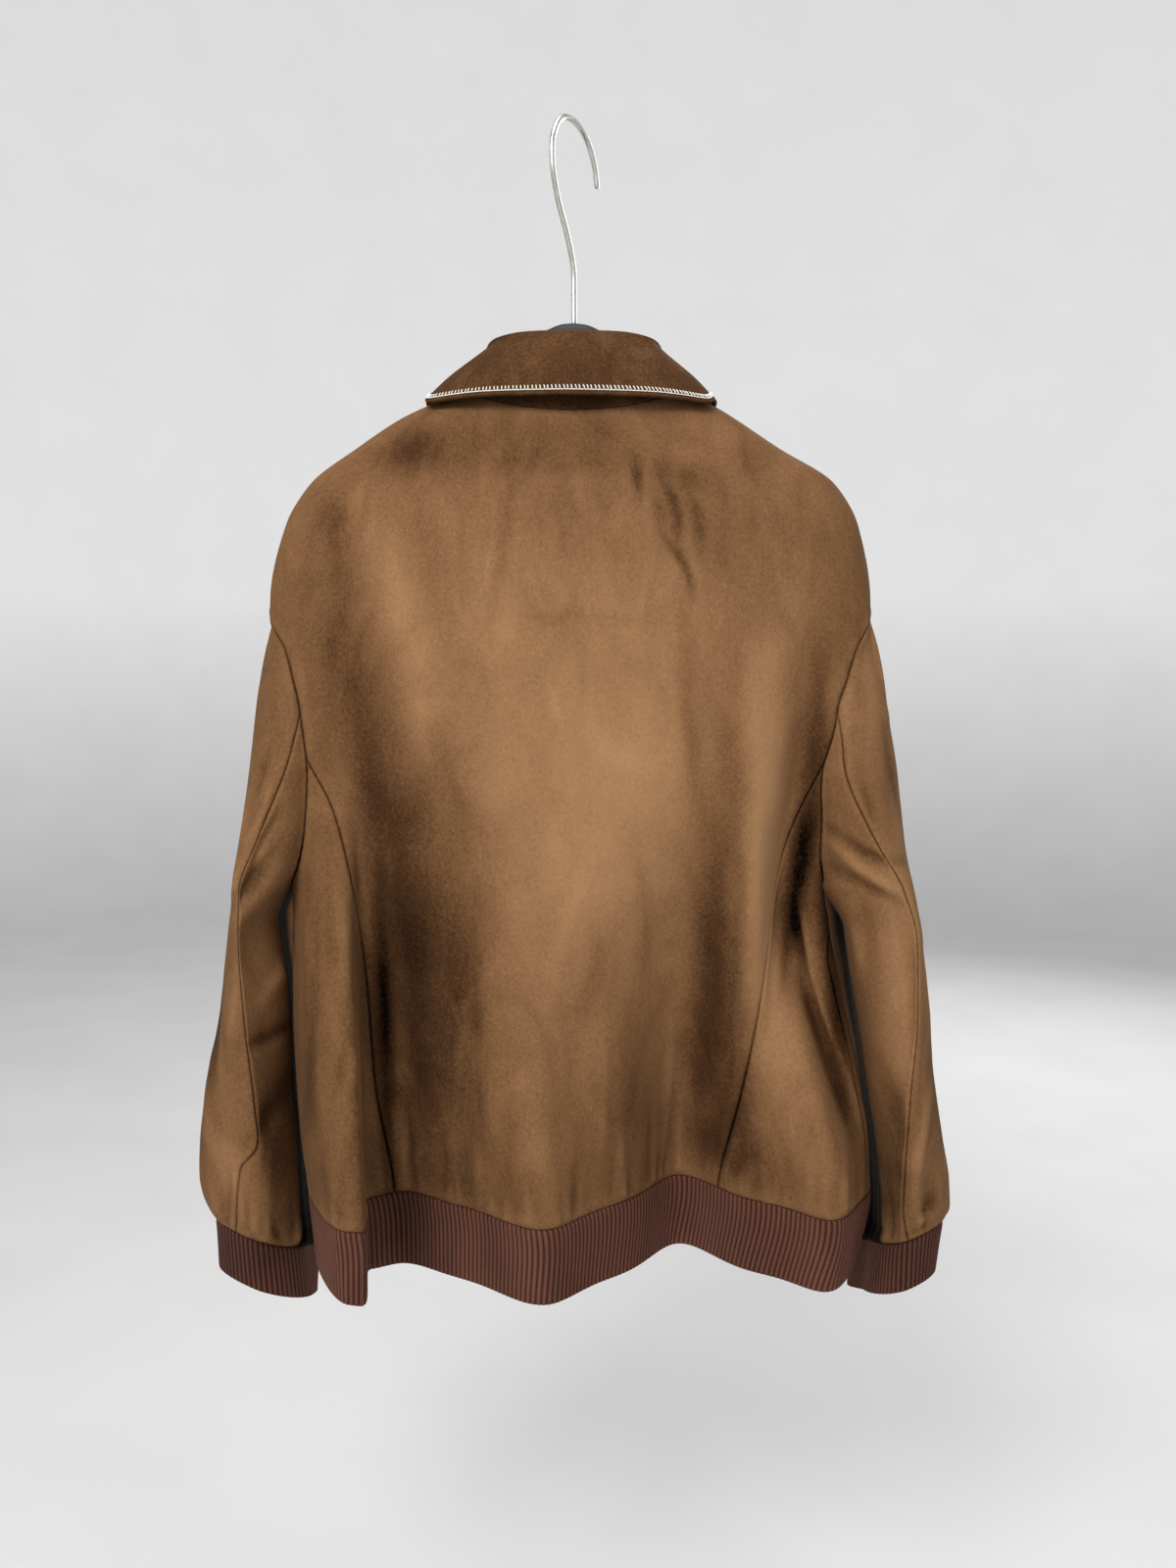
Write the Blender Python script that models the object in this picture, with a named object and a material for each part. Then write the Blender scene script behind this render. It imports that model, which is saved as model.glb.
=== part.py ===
"""Suede jacket with knitted hem and cuffs, hanging on a moulded hanger with a steel hook.

Metres, +Z up.  The origin is the inside of the hook's crown, where it rests on a rail.
The jacket's front faces -Y, its back +Y, and the wearer's left is +X.

The body is a stack of level outlines.  Each outline is a squared oval between the two side
extremes of BODY, with the hanging folds of FOLDS added to its depth.  A sleeve is a stack of
pointed ovals from SLEEVE_L or SLEEVE_R, drawn onto the armhole where it is sewn in.  Panels
are grids between seam lines on those two surfaces, so the panels that meet share one line.
"""
import math

import bmesh
import bpy
import numpy as np

COLLECTION = "suede_jacket_on_hanger"

WALL = 0.0018
LEAF_WALL = 0.0026
RIB_WALL = 0.0024
RIB_RISE = 0.0009
HALF_GAP = 0.00015

NECK_DIP_BACK = 0.029
NECK_DIP_FRONT = 0.082
ARM_TOP = -0.369
ARM_BOTTOM = -0.587
SLEEVE_NOTCH_BACK = -0.456
SLEEVE_NOTCH_FRONT = -0.535
SIDE_NOTCH_BACK = -0.490
SIDE_NOTCH_FRONT = -0.575
HEM_SEAM = -0.829
HEM_EDGE = -0.886
CUFF_SEAM = -0.862
CUFF_EDGE = -0.902
OPENING_HALF = 0.0038
SHOULDER_AHEAD = 0.17
BACK_TURN = 3.0
FRONT_TURN = 1.6

BACK_COLS = 28
FRONT_COLS = 14
SLEEVE_COLS = 11
HEM_RIBS = 300
CUFF_RIBS = 62

# level outline of the body: height, left and right extremes, back and front depth,
# depth of the extremes, squareness
BODY = (
    (-0.195, 0.058, -0.056, 0.034, -0.034, -0.002, 2.0),
    (-0.203, 0.079, -0.076, 0.042, -0.042, -0.002, 2.0),
    (-0.216, 0.111, -0.107, 0.048, -0.050, -0.001, 2.0),
    (-0.229, 0.138, -0.129, 0.053, -0.055, 0.000, 2.0),
    (-0.251, 0.170, -0.161, 0.060, -0.062, 0.001, 2.1),
    (-0.278, 0.205, -0.203, 0.067, -0.068, 0.002, 2.2),
    (-0.311, 0.224, -0.221, 0.073, -0.073, 0.003, 2.35),
    (-0.366, 0.2355, -0.230, 0.079, -0.078, 0.004, 2.5),
    (-0.450, 0.237, -0.231, 0.082, -0.080, 0.005, 2.6),
    (-0.520, 0.231, -0.214, 0.082, -0.080, 0.006, 2.6),
    (-0.587, 0.2195, -0.195, 0.080, -0.076, 0.008, 2.6),
    (-0.620, 0.2195, -0.199, 0.078, -0.074, 0.009, 2.6),
    (-0.680, 0.2200, -0.211, 0.073, -0.070, 0.011, 2.6),
    (-0.740, 0.2180, -0.224, 0.067, -0.066, 0.014, 2.5),
    (-0.790, 0.2140, -0.231, 0.060, -0.062, 0.018, 2.4),
    (-0.829, 0.2085, -0.232, 0.052, -0.058, 0.020, 2.3),
    (-0.886, 0.2025, -0.220, 0.049, -0.056, 0.020, 2.3),
)

# hanging folds: face, x and height where it starts, x at the hem, height of its full depth,
# height where it has died away, width toward +X and toward -X, depth outward, sideways
# lean for each unit of depth, power of its shape (2 a round hill, 4 a flat-topped one)
FOLDS = (
    ("back", 0.178, -0.500, 0.184, -0.790, -1.300, 0.040, 0.017, 0.066, -0.25, 4),
    ("back", 0.186, -0.260, 0.132, -0.700, -1.300, 0.022, 0.030, -0.024, 0.0, 2),
    ("back", 0.052, -0.600, 0.022, -0.829, -1.400, 0.045, 0.034, 0.045, 0.0, 2),
    ("back", -0.070, -0.480, -0.085, -0.829, -1.400, 0.034, 0.036, -0.060, 0.0, 2),
    ("back", -0.128, -0.380, -0.140, -0.560, -0.760, 0.020, 0.014, 0.012, 0.0, 2),
    ("back", -0.180, -0.360, -0.137, -0.580, -0.740, 0.015, 0.022, -0.024, 0.0, 2),
    ("back", -0.152, -0.570, -0.222, -0.690, -0.840, 0.013, 0.012, -0.018, 0.0, 2),
    ("back", -0.182, -0.600, -0.195, -0.829, -1.400, 0.032, 0.030, 0.042, 0.0, 2),
    ("front", 0.150, -0.500, 0.160, -0.820, -1.300, 0.028, 0.030, 0.024, 0.0, 2),
    ("front", 0.100, -0.360, 0.105, -0.760, -1.300, 0.026, 0.028, -0.015, 0.0, 2),
    ("front", 0.050, -0.560, 0.052, -0.829, -1.400, 0.026, 0.028, 0.014, 0.0, 2),
    ("front", -0.062, -0.520, -0.066, -0.829, -1.400, 0.028, 0.028, 0.018, 0.0, 2),
    ("front", -0.120, -0.340, -0.118, -0.760, -1.300, 0.026, 0.026, -0.014, 0.0, 2),
    ("front", -0.168, -0.560, -0.172, -0.829, -1.400, 0.028, 0.026, 0.020, 0.0, 2),
)

# the fold that a side panel's columns follow, and where they run: 0 on the side-back seam,
# 1 on the fold's line, 2 on the side-front seam
SIDE_FOLD = {1: FOLDS[0], -1: FOLDS[6]}
SIDE_RUN = {1: (0.55, 0.76, 1.0, 1.55, 1.85), -1: (0.40, 0.75, 1.0, 1.35, 1.70)}

# armhole seen from the back: height, how far in from the body's extreme on the left and
# the right, on the back face and on the front face
ARMHOLE = (
    (-0.369, 0.0000, 0.0000, 0.0000),
    (-0.386, 0.0105, 0.0095, 0.0120),
    (-0.406, 0.0200, 0.0180, 0.0240),
    (-0.430, 0.0280, 0.0265, 0.0350),
    (-0.456, 0.0340, 0.0345, 0.0420),
    (-0.490, 0.0360, 0.0345, 0.0450),
    (-0.515, 0.0330, 0.0290, 0.0420),
    (-0.540, 0.0260, 0.0195, 0.0340),
    (-0.563, 0.0150, 0.0110, 0.0210),
    (-0.580, 0.0045, 0.0035, 0.0070),
    (-0.587, 0.0000, 0.0000, 0.0000),
)

# side-back seam and side-front seam: height, x on the back face for left and right, then
# angle of the front one for left and right (degrees from the extreme)
SIDE_SEAMS = (
    (-0.490, 0.2000, -0.1865, -40.0, -40.0),
    (-0.530, 0.1790, -0.1700, -24.0, -24.0),
    (-0.575, 0.1690, -0.1560, -8.0, -8.0),
    (-0.650, 0.1580, -0.1430, 6.0, 20.0),
    (-0.740, 0.1520, -0.1270, 9.0, 17.0),
    (-0.829, 0.1400, -0.1130, 8.0, 12.0),
    (-0.886, 0.1390, -0.1110, 8.0, 12.0),
)

# sleeves: height, outer and inner extreme, back and front extreme, x of the back crease
# and of the front one
SLEEVE_L = (
    (-0.369, 0.2358, 0.200, 0.036, -0.036, 0.2220, 0.2200),
    (-0.386, 0.2385, 0.202, 0.044, -0.044, 0.2200, 0.2180),
    (-0.406, 0.2425, 0.202, 0.049, -0.050, 0.2170, 0.2160),
    (-0.450, 0.2475, 0.194, 0.059, -0.062, 0.2120, 0.2120),
    (-0.500, 0.2525, 0.192, 0.069, -0.075, 0.2200, 0.2200),
    (-0.550, 0.2575, 0.201, 0.077, -0.085, 0.2340, 0.2360),
    (-0.587, 0.2610, 0.2225, 0.081, -0.090, 0.2430, 0.2400),
    (-0.620, 0.2655, 0.2400, 0.083, -0.090, 0.2430, 0.2330),
    (-0.680, 0.2760, 0.2320, 0.082, -0.088, 0.2400, 0.2400),
    (-0.740, 0.2880, 0.2275, 0.078, -0.083, 0.2350, 0.2450),
    (-0.790, 0.2960, 0.2230, 0.071, -0.077, 0.2330, 0.2420),
    (-0.830, 0.2980, 0.2190, 0.063, -0.069, 0.2350, 0.2340),
    (-0.850, 0.2950, 0.2160, 0.056, -0.062, 0.2380, 0.2280),
    (-0.862, 0.2870, 0.2150, 0.048, -0.054, 0.2440, 0.2260),
    (-0.902, 0.2850, 0.2110, 0.044, -0.050, 0.2420, 0.2380),
)
SLEEVE_R = (
    (-0.369, 0.2303, 0.194, 0.036, -0.036, 0.2160, 0.2140),
    (-0.386, 0.2335, 0.195, 0.043, -0.044, 0.2140, 0.2120),
    (-0.406, 0.2375, 0.194, 0.048, -0.050, 0.2110, 0.2090),
    (-0.450, 0.2440, 0.185, 0.059, -0.062, 0.2040, 0.2040),
    (-0.500, 0.2510, 0.178, 0.067, -0.075, 0.2080, 0.2080),
    (-0.550, 0.2560, 0.178, 0.075, -0.085, 0.2240, 0.2180),
    (-0.587, 0.2600, 0.1980, 0.080, -0.090, 0.2420, 0.2180),
    (-0.620, 0.2620, 0.2200, 0.083, -0.090, 0.2500, 0.2060),
    (-0.680, 0.2720, 0.2270, 0.082, -0.088, 0.2515, 0.2240),
    (-0.740, 0.2820, 0.2340, 0.078, -0.083, 0.2480, 0.2480),
    (-0.790, 0.2910, 0.2400, 0.071, -0.077, 0.2470, 0.2560),
    (-0.830, 0.2970, 0.2430, 0.063, -0.069, 0.2480, 0.2490),
    (-0.850, 0.2975, 0.2430, 0.056, -0.062, 0.2520, 0.2430),
    (-0.862, 0.2950, 0.2380, 0.048, -0.054, 0.2560, 0.2360),
    (-0.902, 0.2890, 0.2340, 0.044, -0.050, 0.2560, 0.2360),
)

# where the armhole meets a sleeve's oval: height, degrees round the oval on the back, front
ARM_ANGLE = (
    (-0.369, -20.0, 20.0),
    (-0.386, 34.0, 59.0),
    (-0.406, 68.0, 80.0),
    (-0.430, 97.0, 99.0),
    (-0.456, 110.0, 114.0),
    (-0.490, 122.0, 127.0),
    (-0.515, 129.0, 133.0),
    (-0.540, 137.0, 140.0),
    (-0.563, 149.0, 150.0),
    (-0.580, 165.0, 165.0),
    (-0.587, 180.0, 180.0),
)

# sleeve seams: height, degrees round the oval of the back seam on the left and on the right,
# and of the front seam
SLEEVE_SEAMS = (
    (-0.456, 110.0, 110.0, 124.0),
    (-0.480, 101.0, 101.0, 128.0),
    (-0.535, 94.0, 94.0, 139.0),
    (-0.620, 93.0, 93.0, 142.0),
    (-0.765, 94.0, 93.0, 141.0),
    (-0.800, 68.0, 93.0, 140.0),
    (-0.862, 63.0, 94.0, 140.0),
)

# collar, from the centre back to the centre front: share of the way, fold line x, y, z,
# leaf edge as an angle round the body's outline, height and distance off the body
COLLAR = (
    (0.00, 0.000, 0.037, -0.1750, 90.0, -0.2300, 0.0160),
    (0.20, 0.035, 0.031, -0.1742, 65.0, -0.2292, 0.0135),
    (0.38, 0.058, 0.011, -0.1735, 38.0, -0.2268, 0.0075),
    (0.50, 0.063, -0.010, -0.1770, 5.0, -0.2160, 0.0045),
    (0.62, 0.060, -0.030, -0.1880, -42.0, -0.2300, 0.0060),
    (0.80, 0.039, -0.057, -0.2200, -64.0, -0.2700, 0.0070),
    (1.00, 0.013, -0.071, -0.2520, -76.0, -0.3120, 0.0070),
)

# hanger, from the middle to a tip: x, height of its top, half height, half depth
HANGER = (
    (0.000, -0.1525, 0.0110, 0.0130),
    (0.008, -0.1532, 0.0110, 0.0130),
    (0.022, -0.1585, 0.0095, 0.0120),
    (0.040, -0.1700, 0.0080, 0.0110),
    (0.060, -0.1890, 0.0068, 0.0105),
    (0.082, -0.2115, 0.0060, 0.0100),
    (0.110, -0.2225, 0.0060, 0.0100),
    (0.133, -0.2345, 0.0060, 0.0100),
    (0.165, -0.2565, 0.0060, 0.0100),
    (0.190, -0.2745, 0.0056, 0.0095),
    (0.201, -0.2835, 0.0048, 0.0085),
    (0.205, -0.2890, 0.0030, 0.0060),
)

HANGER_TILT = 0.016

# hook wire in its own upright plane: distance from the shank, height
HOOK = (
    (0.000, -0.1521), (0.000, -0.130), (0.001, -0.110), (0.010, -0.088), (0.024, -0.064),
    (0.0305, -0.044), (0.0300, -0.022), (0.018, -0.0035), (0.000, 0.0022), (-0.019, -0.0040),
    (-0.031, -0.019), (-0.0355, -0.036),
)
HOOK_TURN = math.radians(59.0)
WIRE_RADIUS = 0.0022

SUEDE = (0.235, 0.105, 0.050, 1.0)
KNIT = (0.130, 0.048, 0.026, 1.0)
PLASTIC = (0.010, 0.011, 0.014, 1.0)
STEEL = (0.560, 0.555, 0.540, 1.0)


def curve(table, column):
    """Smooth curve through one column of a table, without overshoot; heights fall down it."""
    rows = sorted(table, key=lambda row: row[0])
    xs = np.array([row[0] for row in rows], float)
    ys = np.array([row[column] for row in rows], float)
    h = np.diff(xs)
    d = np.diff(ys) / h
    m = np.zeros(len(xs))
    for k in range(1, len(xs) - 1):
        if d[k - 1] * d[k] > 0:
            w1 = 2 * h[k] + h[k - 1]
            w2 = h[k] + 2 * h[k - 1]
            m[k] = (w1 + w2) / (w1 / d[k - 1] + w2 / d[k])
    m[0] = d[0]
    m[-1] = d[-1]

    def value(q):
        q = np.clip(np.asarray(q, float), xs[0], xs[-1])
        k = np.clip(np.searchsorted(xs, q, side="right") - 1, 0, len(h) - 1)
        u = (q - xs[k]) / h[k]
        a = (1 + 2 * u) * (1 - u) ** 2 * ys[k] + u * (1 - u) ** 2 * h[k] * m[k]
        b = u * u * (3 - 2 * u) * ys[k + 1] + u * u * (u - 1) * h[k] * m[k + 1]
        return a + b

    return value


def ramp(u):
    """0 to 1 with level ends."""
    u = np.clip(u, 0.0, 1.0)
    return u * u * (3 - 2 * u)


def power(v, n):
    """Signed power."""
    return np.sign(v) * np.abs(v) ** n


class Body:
    """The jacket's body: a point for an angle round its outline and a height."""

    def __init__(self):
        self.left = curve(BODY, 1)
        self.right = curve(BODY, 2)
        self.back = curve(BODY, 3)
        self.front = curve(BODY, 4)
        self.middle = curve(BODY, 5)
        self.square = curve(BODY, 6)
        self.in_left = curve(ARMHOLE, 1)
        self.in_right = curve(ARMHOLE, 2)
        self.in_front = curve(ARMHOLE, 3)
        self.seam_x = {1: curve(SIDE_SEAMS, 1), -1: curve(SIDE_SEAMS, 2)}
        self.seam_t = {1: curve(SIDE_SEAMS, 3), -1: curve(SIDE_SEAMS, 4)}

    def point(self, t, z):
        t, z = np.broadcast_arrays(np.asarray(t, float), np.asarray(z, float))
        left = self.left(z)
        right = self.right(z)
        n = self.square(z)
        c = power(np.cos(t), 2 / n)
        s = power(np.sin(t), 2 / n)
        x = (left + right) / 2 + (left - right) / 2 * c
        mid = self.middle(z)
        depth = np.where(s >= 0, self.back(z) - mid, mid - self.front(z))
        y = mid + depth * s
        reach = ramp(np.abs(s) / 0.75)
        sway = 0.0 * x
        for face, x0, z0, x1, z_full, z_end, w_plus, w_minus, out, lean, shape in FOLDS:
            way = np.clip((z0 - z) / (z0 - HEM_SEAM), 0.0, 1.0)
            at = x0 + (x1 - x0) * way
            amount = ramp((z0 - z) / (z0 - z_full)) * (1 - ramp((z_full - z) / (z_full - z_end)))
            width = np.where(x > at, w_plus, w_minus)
            bump = out * amount * np.exp(-np.abs((x - at) / width) ** shape) * reach
            y = y + np.where(s >= 0, bump, 0.0) * (face == "back")
            y = y - np.where(s < 0, bump, 0.0) * (face == "front")
            sway = sway + lean * np.where(s >= 0, bump, 0.0)
        return np.stack([x + sway, y, z], axis=-1)

    def normal(self, t, z):
        dt = 0.004
        dz = 0.0015
        along = self.point(t + dt, z) - self.point(t - dt, z)
        up = self.point(t, z + dz) - self.point(t, z - dz)
        n = np.cross(along, up)
        return n / np.linalg.norm(n, axis=-1, keepdims=True)

    def angle(self, x, z, face=1):
        """Angle where the outline has this x, on the back (1) or the front (-1)."""
        left = self.left(z)
        right = self.right(z)
        c = np.clip((x - (left + right) / 2) / ((left - right) / 2), -1.0, 1.0)
        return face * np.arccos(np.clip(power(c, self.square(z) / 2), -1.0, 1.0))

    def armhole(self, side, z, face):
        inset = self.in_front(z) if face < 0 else (self.in_left(z) if side > 0 else self.in_right(z))
        x = self.left(z) - inset if side > 0 else self.right(z) + inset
        ahead = SHOULDER_AHEAD * (1 - ramp((ARM_TOP - z) / 0.04))
        t = self.angle(x, z, 1)
        return face * t - ahead if side > 0 else (t + ahead if face > 0 else 2 * np.pi - t + ahead)

    def shoulder(self, side, z):
        t = -SHOULDER_AHEAD + 0.0 * z
        return t if side > 0 else np.pi - t

    def side_back(self, side, z):
        t = self.angle(self.seam_x[side](z), z, 1)
        top = SIDE_NOTCH_BACK
        miss = self.armhole(side, top, 1) - self.angle(self.seam_x[side](top), top, 1)
        return t + miss * (1 - ramp((top - z) / 0.06))

    def side_front(self, side, z):
        t = np.radians(self.seam_t[side](z))
        t = t if side > 0 else np.pi - t
        top = SIDE_NOTCH_FRONT
        start = np.radians(self.seam_t[side](top))
        meet = self.armhole(side, top, -1)
        meet = meet if side > 0 else meet % (2 * np.pi)
        miss = meet - (start if side > 0 else np.pi - start)
        return t + miss * (1 - ramp((top - z) / 0.06))

    def opening(self, side, z):
        t = 2 * np.pi - self.angle(side * OPENING_HALF, z, 1)
        return t - 2 * np.pi if side > 0 else t

    def share(self, z, t0, t1, s):
        """Angle at a share of the way, by length, along the level outline from t0 to t1."""
        u = np.linspace(0.0, 1.0, 121)
        t = t0[..., None] + (t1 - t0)[..., None] * u
        p = self.point(t, z[..., None])
        step = np.linalg.norm(np.diff(p[..., :2], axis=-2), axis=-1)
        run = np.concatenate([np.zeros(step.shape[:-1] + (1,)), np.cumsum(step, axis=-1)], axis=-1)
        want = s * run[..., -1]
        k = np.clip((run <= want[..., None]).sum(-1) - 1, 0, 119)
        a = np.take_along_axis(run, k[..., None], -1)[..., 0]
        b = np.take_along_axis(run, k[..., None] + 1, -1)[..., 0]
        f = (k + (want - a) / np.maximum(b - a, 1e-9)) / 120.0
        return t0 + (t1 - t0) * f


class Sleeve:
    """One sleeve: a point for an angle round its oval (0 outward, 90 back) and a height."""

    def __init__(self, side, body):
        table = SLEEVE_L if side > 0 else SLEEVE_R
        self.side = side
        self.body = body
        self.out = curve(table, 1)
        self.inn = curve(table, 2)
        self.back = curve(table, 3)
        self.front = curve(table, 4)
        self.crease = curve(table, 5)
        self.edge = curve(table, 6)
        self.arm_back = curve(ARM_ANGLE, 1)
        self.arm_front = curve(ARM_ANGLE, 2)
        self.seam_back = curve(SLEEVE_SEAMS, 1 if side > 0 else 2)
        self.seam_front = curve(SLEEVE_SEAMS, 3)

    def oval(self, a, z):
        out = self.out(z)
        inn = self.inn(z)
        mid = (out + inn) / 2
        c = power(np.cos(a), 2 / 1.6)
        s = power(np.sin(a), 2 / 2.2)
        lean = np.where(s > 0, self.crease(z), self.edge(z)) - mid
        turn = np.where(s > 0, np.abs(s) ** BACK_TURN, np.abs(s) ** FRONT_TURN)
        x = mid + (out - inn) / 2 * c + lean * turn
        cy = (self.back(z) + self.front(z)) / 2
        y = cy + (self.back(z) - self.front(z)) / 2 * s
        return np.stack([self.side * x, y, z], axis=-1)

    def pull(self, a, z):
        """Shift that brings the oval onto the armhole, dying away round the sleeve."""
        zc = np.clip(z, ARM_BOTTOM, ARM_TOP)
        back = np.radians(self.arm_back(zc))
        front = np.radians(self.arm_front(zc))
        half = (back + front) / 2
        turn = (a - (back - front) / 2 + np.pi) % (2 * np.pi) - np.pi
        shift = 0.0
        for face, at in ((1, back), (-1, front)):
            hole = self.body.point(self.body.armhole(self.side, zc, face), zc)
            share = (1 + face * np.clip(turn / np.maximum(half, 1e-3), -1.0, 1.0)) / 2
            shift = shift + (hole - self.oval(face * at, zc)) * share[..., None]
        near = np.exp(-((np.abs(turn) - half) / 0.75) ** 2)
        open_cap = ramp(half / 0.9) * (1 - ramp(np.abs(turn) / np.maximum(0.6 * half, 1e-3)))
        near = near * (1 - open_cap) * np.exp(-np.maximum(ARM_BOTTOM - z, 0.0) / 0.03)
        return shift * near[..., None]

    def point(self, a, z):
        a, z = np.broadcast_arrays(np.asarray(a, float), np.asarray(z, float))
        move = self.pull(a, z)
        move[..., 2] = 0.0
        return self.oval(a, z) + move

    def normal(self, a, z):
        da = 0.02
        dz = 0.002
        along = self.point(a + da, z) - self.point(a - da, z)
        up = self.point(a, z + dz) - self.point(a, z - dz)
        n = np.cross(along, up) * self.side
        return n / np.linalg.norm(n, axis=-1, keepdims=True)

    def arm(self, z, face):
        return face * np.radians(self.arm_back(z) if face > 0 else self.arm_front(z))

    def seam(self, z, face):
        """Angle of a sleeve seam, which starts on the armhole at its notch."""
        top = SLEEVE_NOTCH_BACK if face > 0 else SLEEVE_NOTCH_FRONT
        table = self.seam_back if face > 0 else self.seam_front
        miss = self.arm(top, face) - face * np.radians(table(top))
        return face * np.radians(table(z)) + miss * (1 - ramp((top - z) / 0.05))


class Panel:
    """A grid of outer points and outward directions, rows running down, columns across."""

    def __init__(self, name, points, normals, wall, level_bottom=False, level_top=False):
        self.name = name
        self.p = points
        self.n = normals
        self.wall = wall
        self.level_bottom = level_bottom
        self.level_top = level_top

    def boundary(self):
        rows, cols = self.p.shape[:2]
        ring = [(0, c) for c in range(cols)] + [(r, cols - 1) for r in range(1, rows)]
        ring += [(rows - 1, c) for c in range(cols - 2, -1, -1)]
        ring += [(r, 0) for r in range(rows - 2, 0, -1)]
        return ring

    def inward(self):
        """Direction into the panel, in its surface, at each boundary vertex."""
        ring = self.boundary()
        clean = []
        for key in ring:
            if not clean or np.linalg.norm(self.p[key] - self.p[clean[-1]]) > 1e-6:
                clean.append(key)
        if np.linalg.norm(self.p[clean[0]] - self.p[clean[-1]]) < 1e-6:
            clean.pop()
        centre = self.p.reshape(-1, 3).mean(axis=0)
        found = {}
        count = len(clean)
        for k, key in enumerate(clean):
            here = self.p[key]
            n = self.n[key]
            sides = []
            for a, b in ((clean[k - 1], key), (key, clean[(k + 1) % count])):
                along = self.p[b] - self.p[a]
                side = np.cross(n, along)
                side = side / max(np.linalg.norm(side), 1e-9)
                sides.append(side)
            mid = sides[0] + sides[1]
            length = np.linalg.norm(mid)
            mid = mid / length if length > 1e-6 else sides[0]
            stretch = 1.0 / max(0.45, float(np.dot(mid, sides[0])))
            found[key] = (here, n, mid, stretch)
        sign = 1.0
        total = sum(float(np.dot(v[2], centre - v[0])) for v in found.values())
        if total < 0:
            sign = -1.0
        return {key: (v[0], v[1], v[2] * sign, v[3]) for key, v in found.items()}


def grid(surface, edge_a, edge_b, drop):
    """Angles and heights of a grid whose rows join two lists of (angle, height).

    drop is how far each point hangs below the straight row between its ends."""
    cols = drop.shape[1]
    s = np.linspace(0.0, 1.0, cols)
    ta = np.array([e[0] for e in edge_a])[:, None] + 0 * s[None]
    tb = np.array([e[0] for e in edge_b])[:, None] + 0 * s[None]
    za = np.array([e[1] for e in edge_a])[:, None]
    zb = np.array([e[1] for e in edge_b])[:, None]
    z = za + (zb - za) * s[None]
    t = surface.share(z, ta, tb, np.broadcast_to(s[None], z.shape))
    x = surface.point(t, z)[..., 0]
    z = z - drop
    face = 1 if np.sin(np.mean(t[0])) > 0 else -1
    moved = surface.angle(x, z, 1)
    if face < 0:
        moved = -moved if np.mean(t[0]) < 0 else 2 * np.pi - moved
    t = np.where((drop < 1e-6) | (np.sin(t) * face < 0.02), t, moved)
    return t, z


def fan(rows):
    """Drop of each body row for turning round the armhole's top."""
    drop = np.zeros(rows)
    start = len(SHOULDER_ROWS) - 1
    drop[start:start + len(BODY_FAN)] = BODY_FAN
    return drop[:, None]


def steps(*stops):
    """Heights from stop to stop: steps(a, 3, b, 2, c) gives three steps to b, then two to c."""
    found = [stops[0]]
    for k in range(1, len(stops), 2):
        count = stops[k]
        a = found[-1]
        b = stops[k + 1]
        found += [a + (b - a) * (i + 1) / count for i in range(count)]
    return found


SHOULDER_ROWS = [-0.203, -0.219, -0.236, -0.257, -0.280, -0.318, ARM_TOP]
BACK_ARM_ROWS = [ARM_TOP, -0.3701, -0.3733, -0.3786, -0.386, -0.406, -0.430,
                 SLEEVE_NOTCH_BACK, SIDE_NOTCH_BACK]
FRONT_ARM_ROWS = [ARM_TOP, -0.3701, -0.3733, -0.3786, -0.388, -0.415, -0.455,
                  SLEEVE_NOTCH_FRONT, SIDE_NOTCH_FRONT]
# the rows that turn round the armhole's top fan out: how far each one hangs below its
# armhole end in the middle of the body panels, and in the middle of the sleeve
BODY_FAN = [-0.034, -0.020, -0.008, 0.002, 0.008, 0.006, 0.003, 0.0, 0.0]
SLEEVE_FAN = [0.0, 0.006, 0.012, 0.018, 0.022, 0.018, 0.012, 0.0]
SIDE_BACK_ROWS = steps(SIDE_NOTCH_BACK, 9, HEM_SEAM)
SIDE_FRONT_ROWS = steps(SIDE_NOTCH_FRONT, 9, HEM_SEAM)
UNDER_ARM = [(-0.456, 1), (-0.490, 1), (-0.515, 1), (-0.540, 1), (-0.563, 1), (-0.580, 1),
             (-0.587, 1), (-0.575, -1), (-0.535, -1)]
SLEEVE_BACK_ROWS = steps(SLEEVE_NOTCH_BACK, 12, -0.848, 1, CUFF_SEAM)
SLEEVE_FRONT_ROWS = steps(SLEEVE_NOTCH_FRONT, 12, -0.848, 1, CUFF_SEAM)


def body_edge(body, side, face):
    """(angle, height) down the side of the back or a front: shoulder, armhole, side seam."""
    edge = [(body.shoulder(side, z), z) for z in SHOULDER_ROWS]
    if face > 0:
        edge += [(body.armhole(side, z, 1), z) for z in BACK_ARM_ROWS[1:]]
        edge += [(body.side_back(side, z), z) for z in SIDE_BACK_ROWS[1:]]
        return edge
    edge += [(body.armhole(side, z, -1), z) for z in FRONT_ARM_ROWS[1:]]
    edge += [(body.side_front(side, z), z) for z in SIDE_FRONT_ROWS[1:]]
    return edge


def back_panel(body):
    left = body_edge(body, 1, 1)
    right = body_edge(body, -1, 1)
    zs = np.array([e[1] for e in left])
    s = np.linspace(0.0, 1.0, BACK_COLS + 1)
    dip = NECK_DIP_BACK * (1 - ramp((zs[0] - zs) / 0.16))[:, None]
    drop = dip * np.sin(np.pi * s) ** 0.8 + fan(len(zs)) * ramp(np.minimum(s, 1 - s) / 0.2)
    t, z = grid(body, left, right, drop)
    return Panel("back", body.point(t, z), body.normal(t, z), WALL, level_bottom=True)


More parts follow.
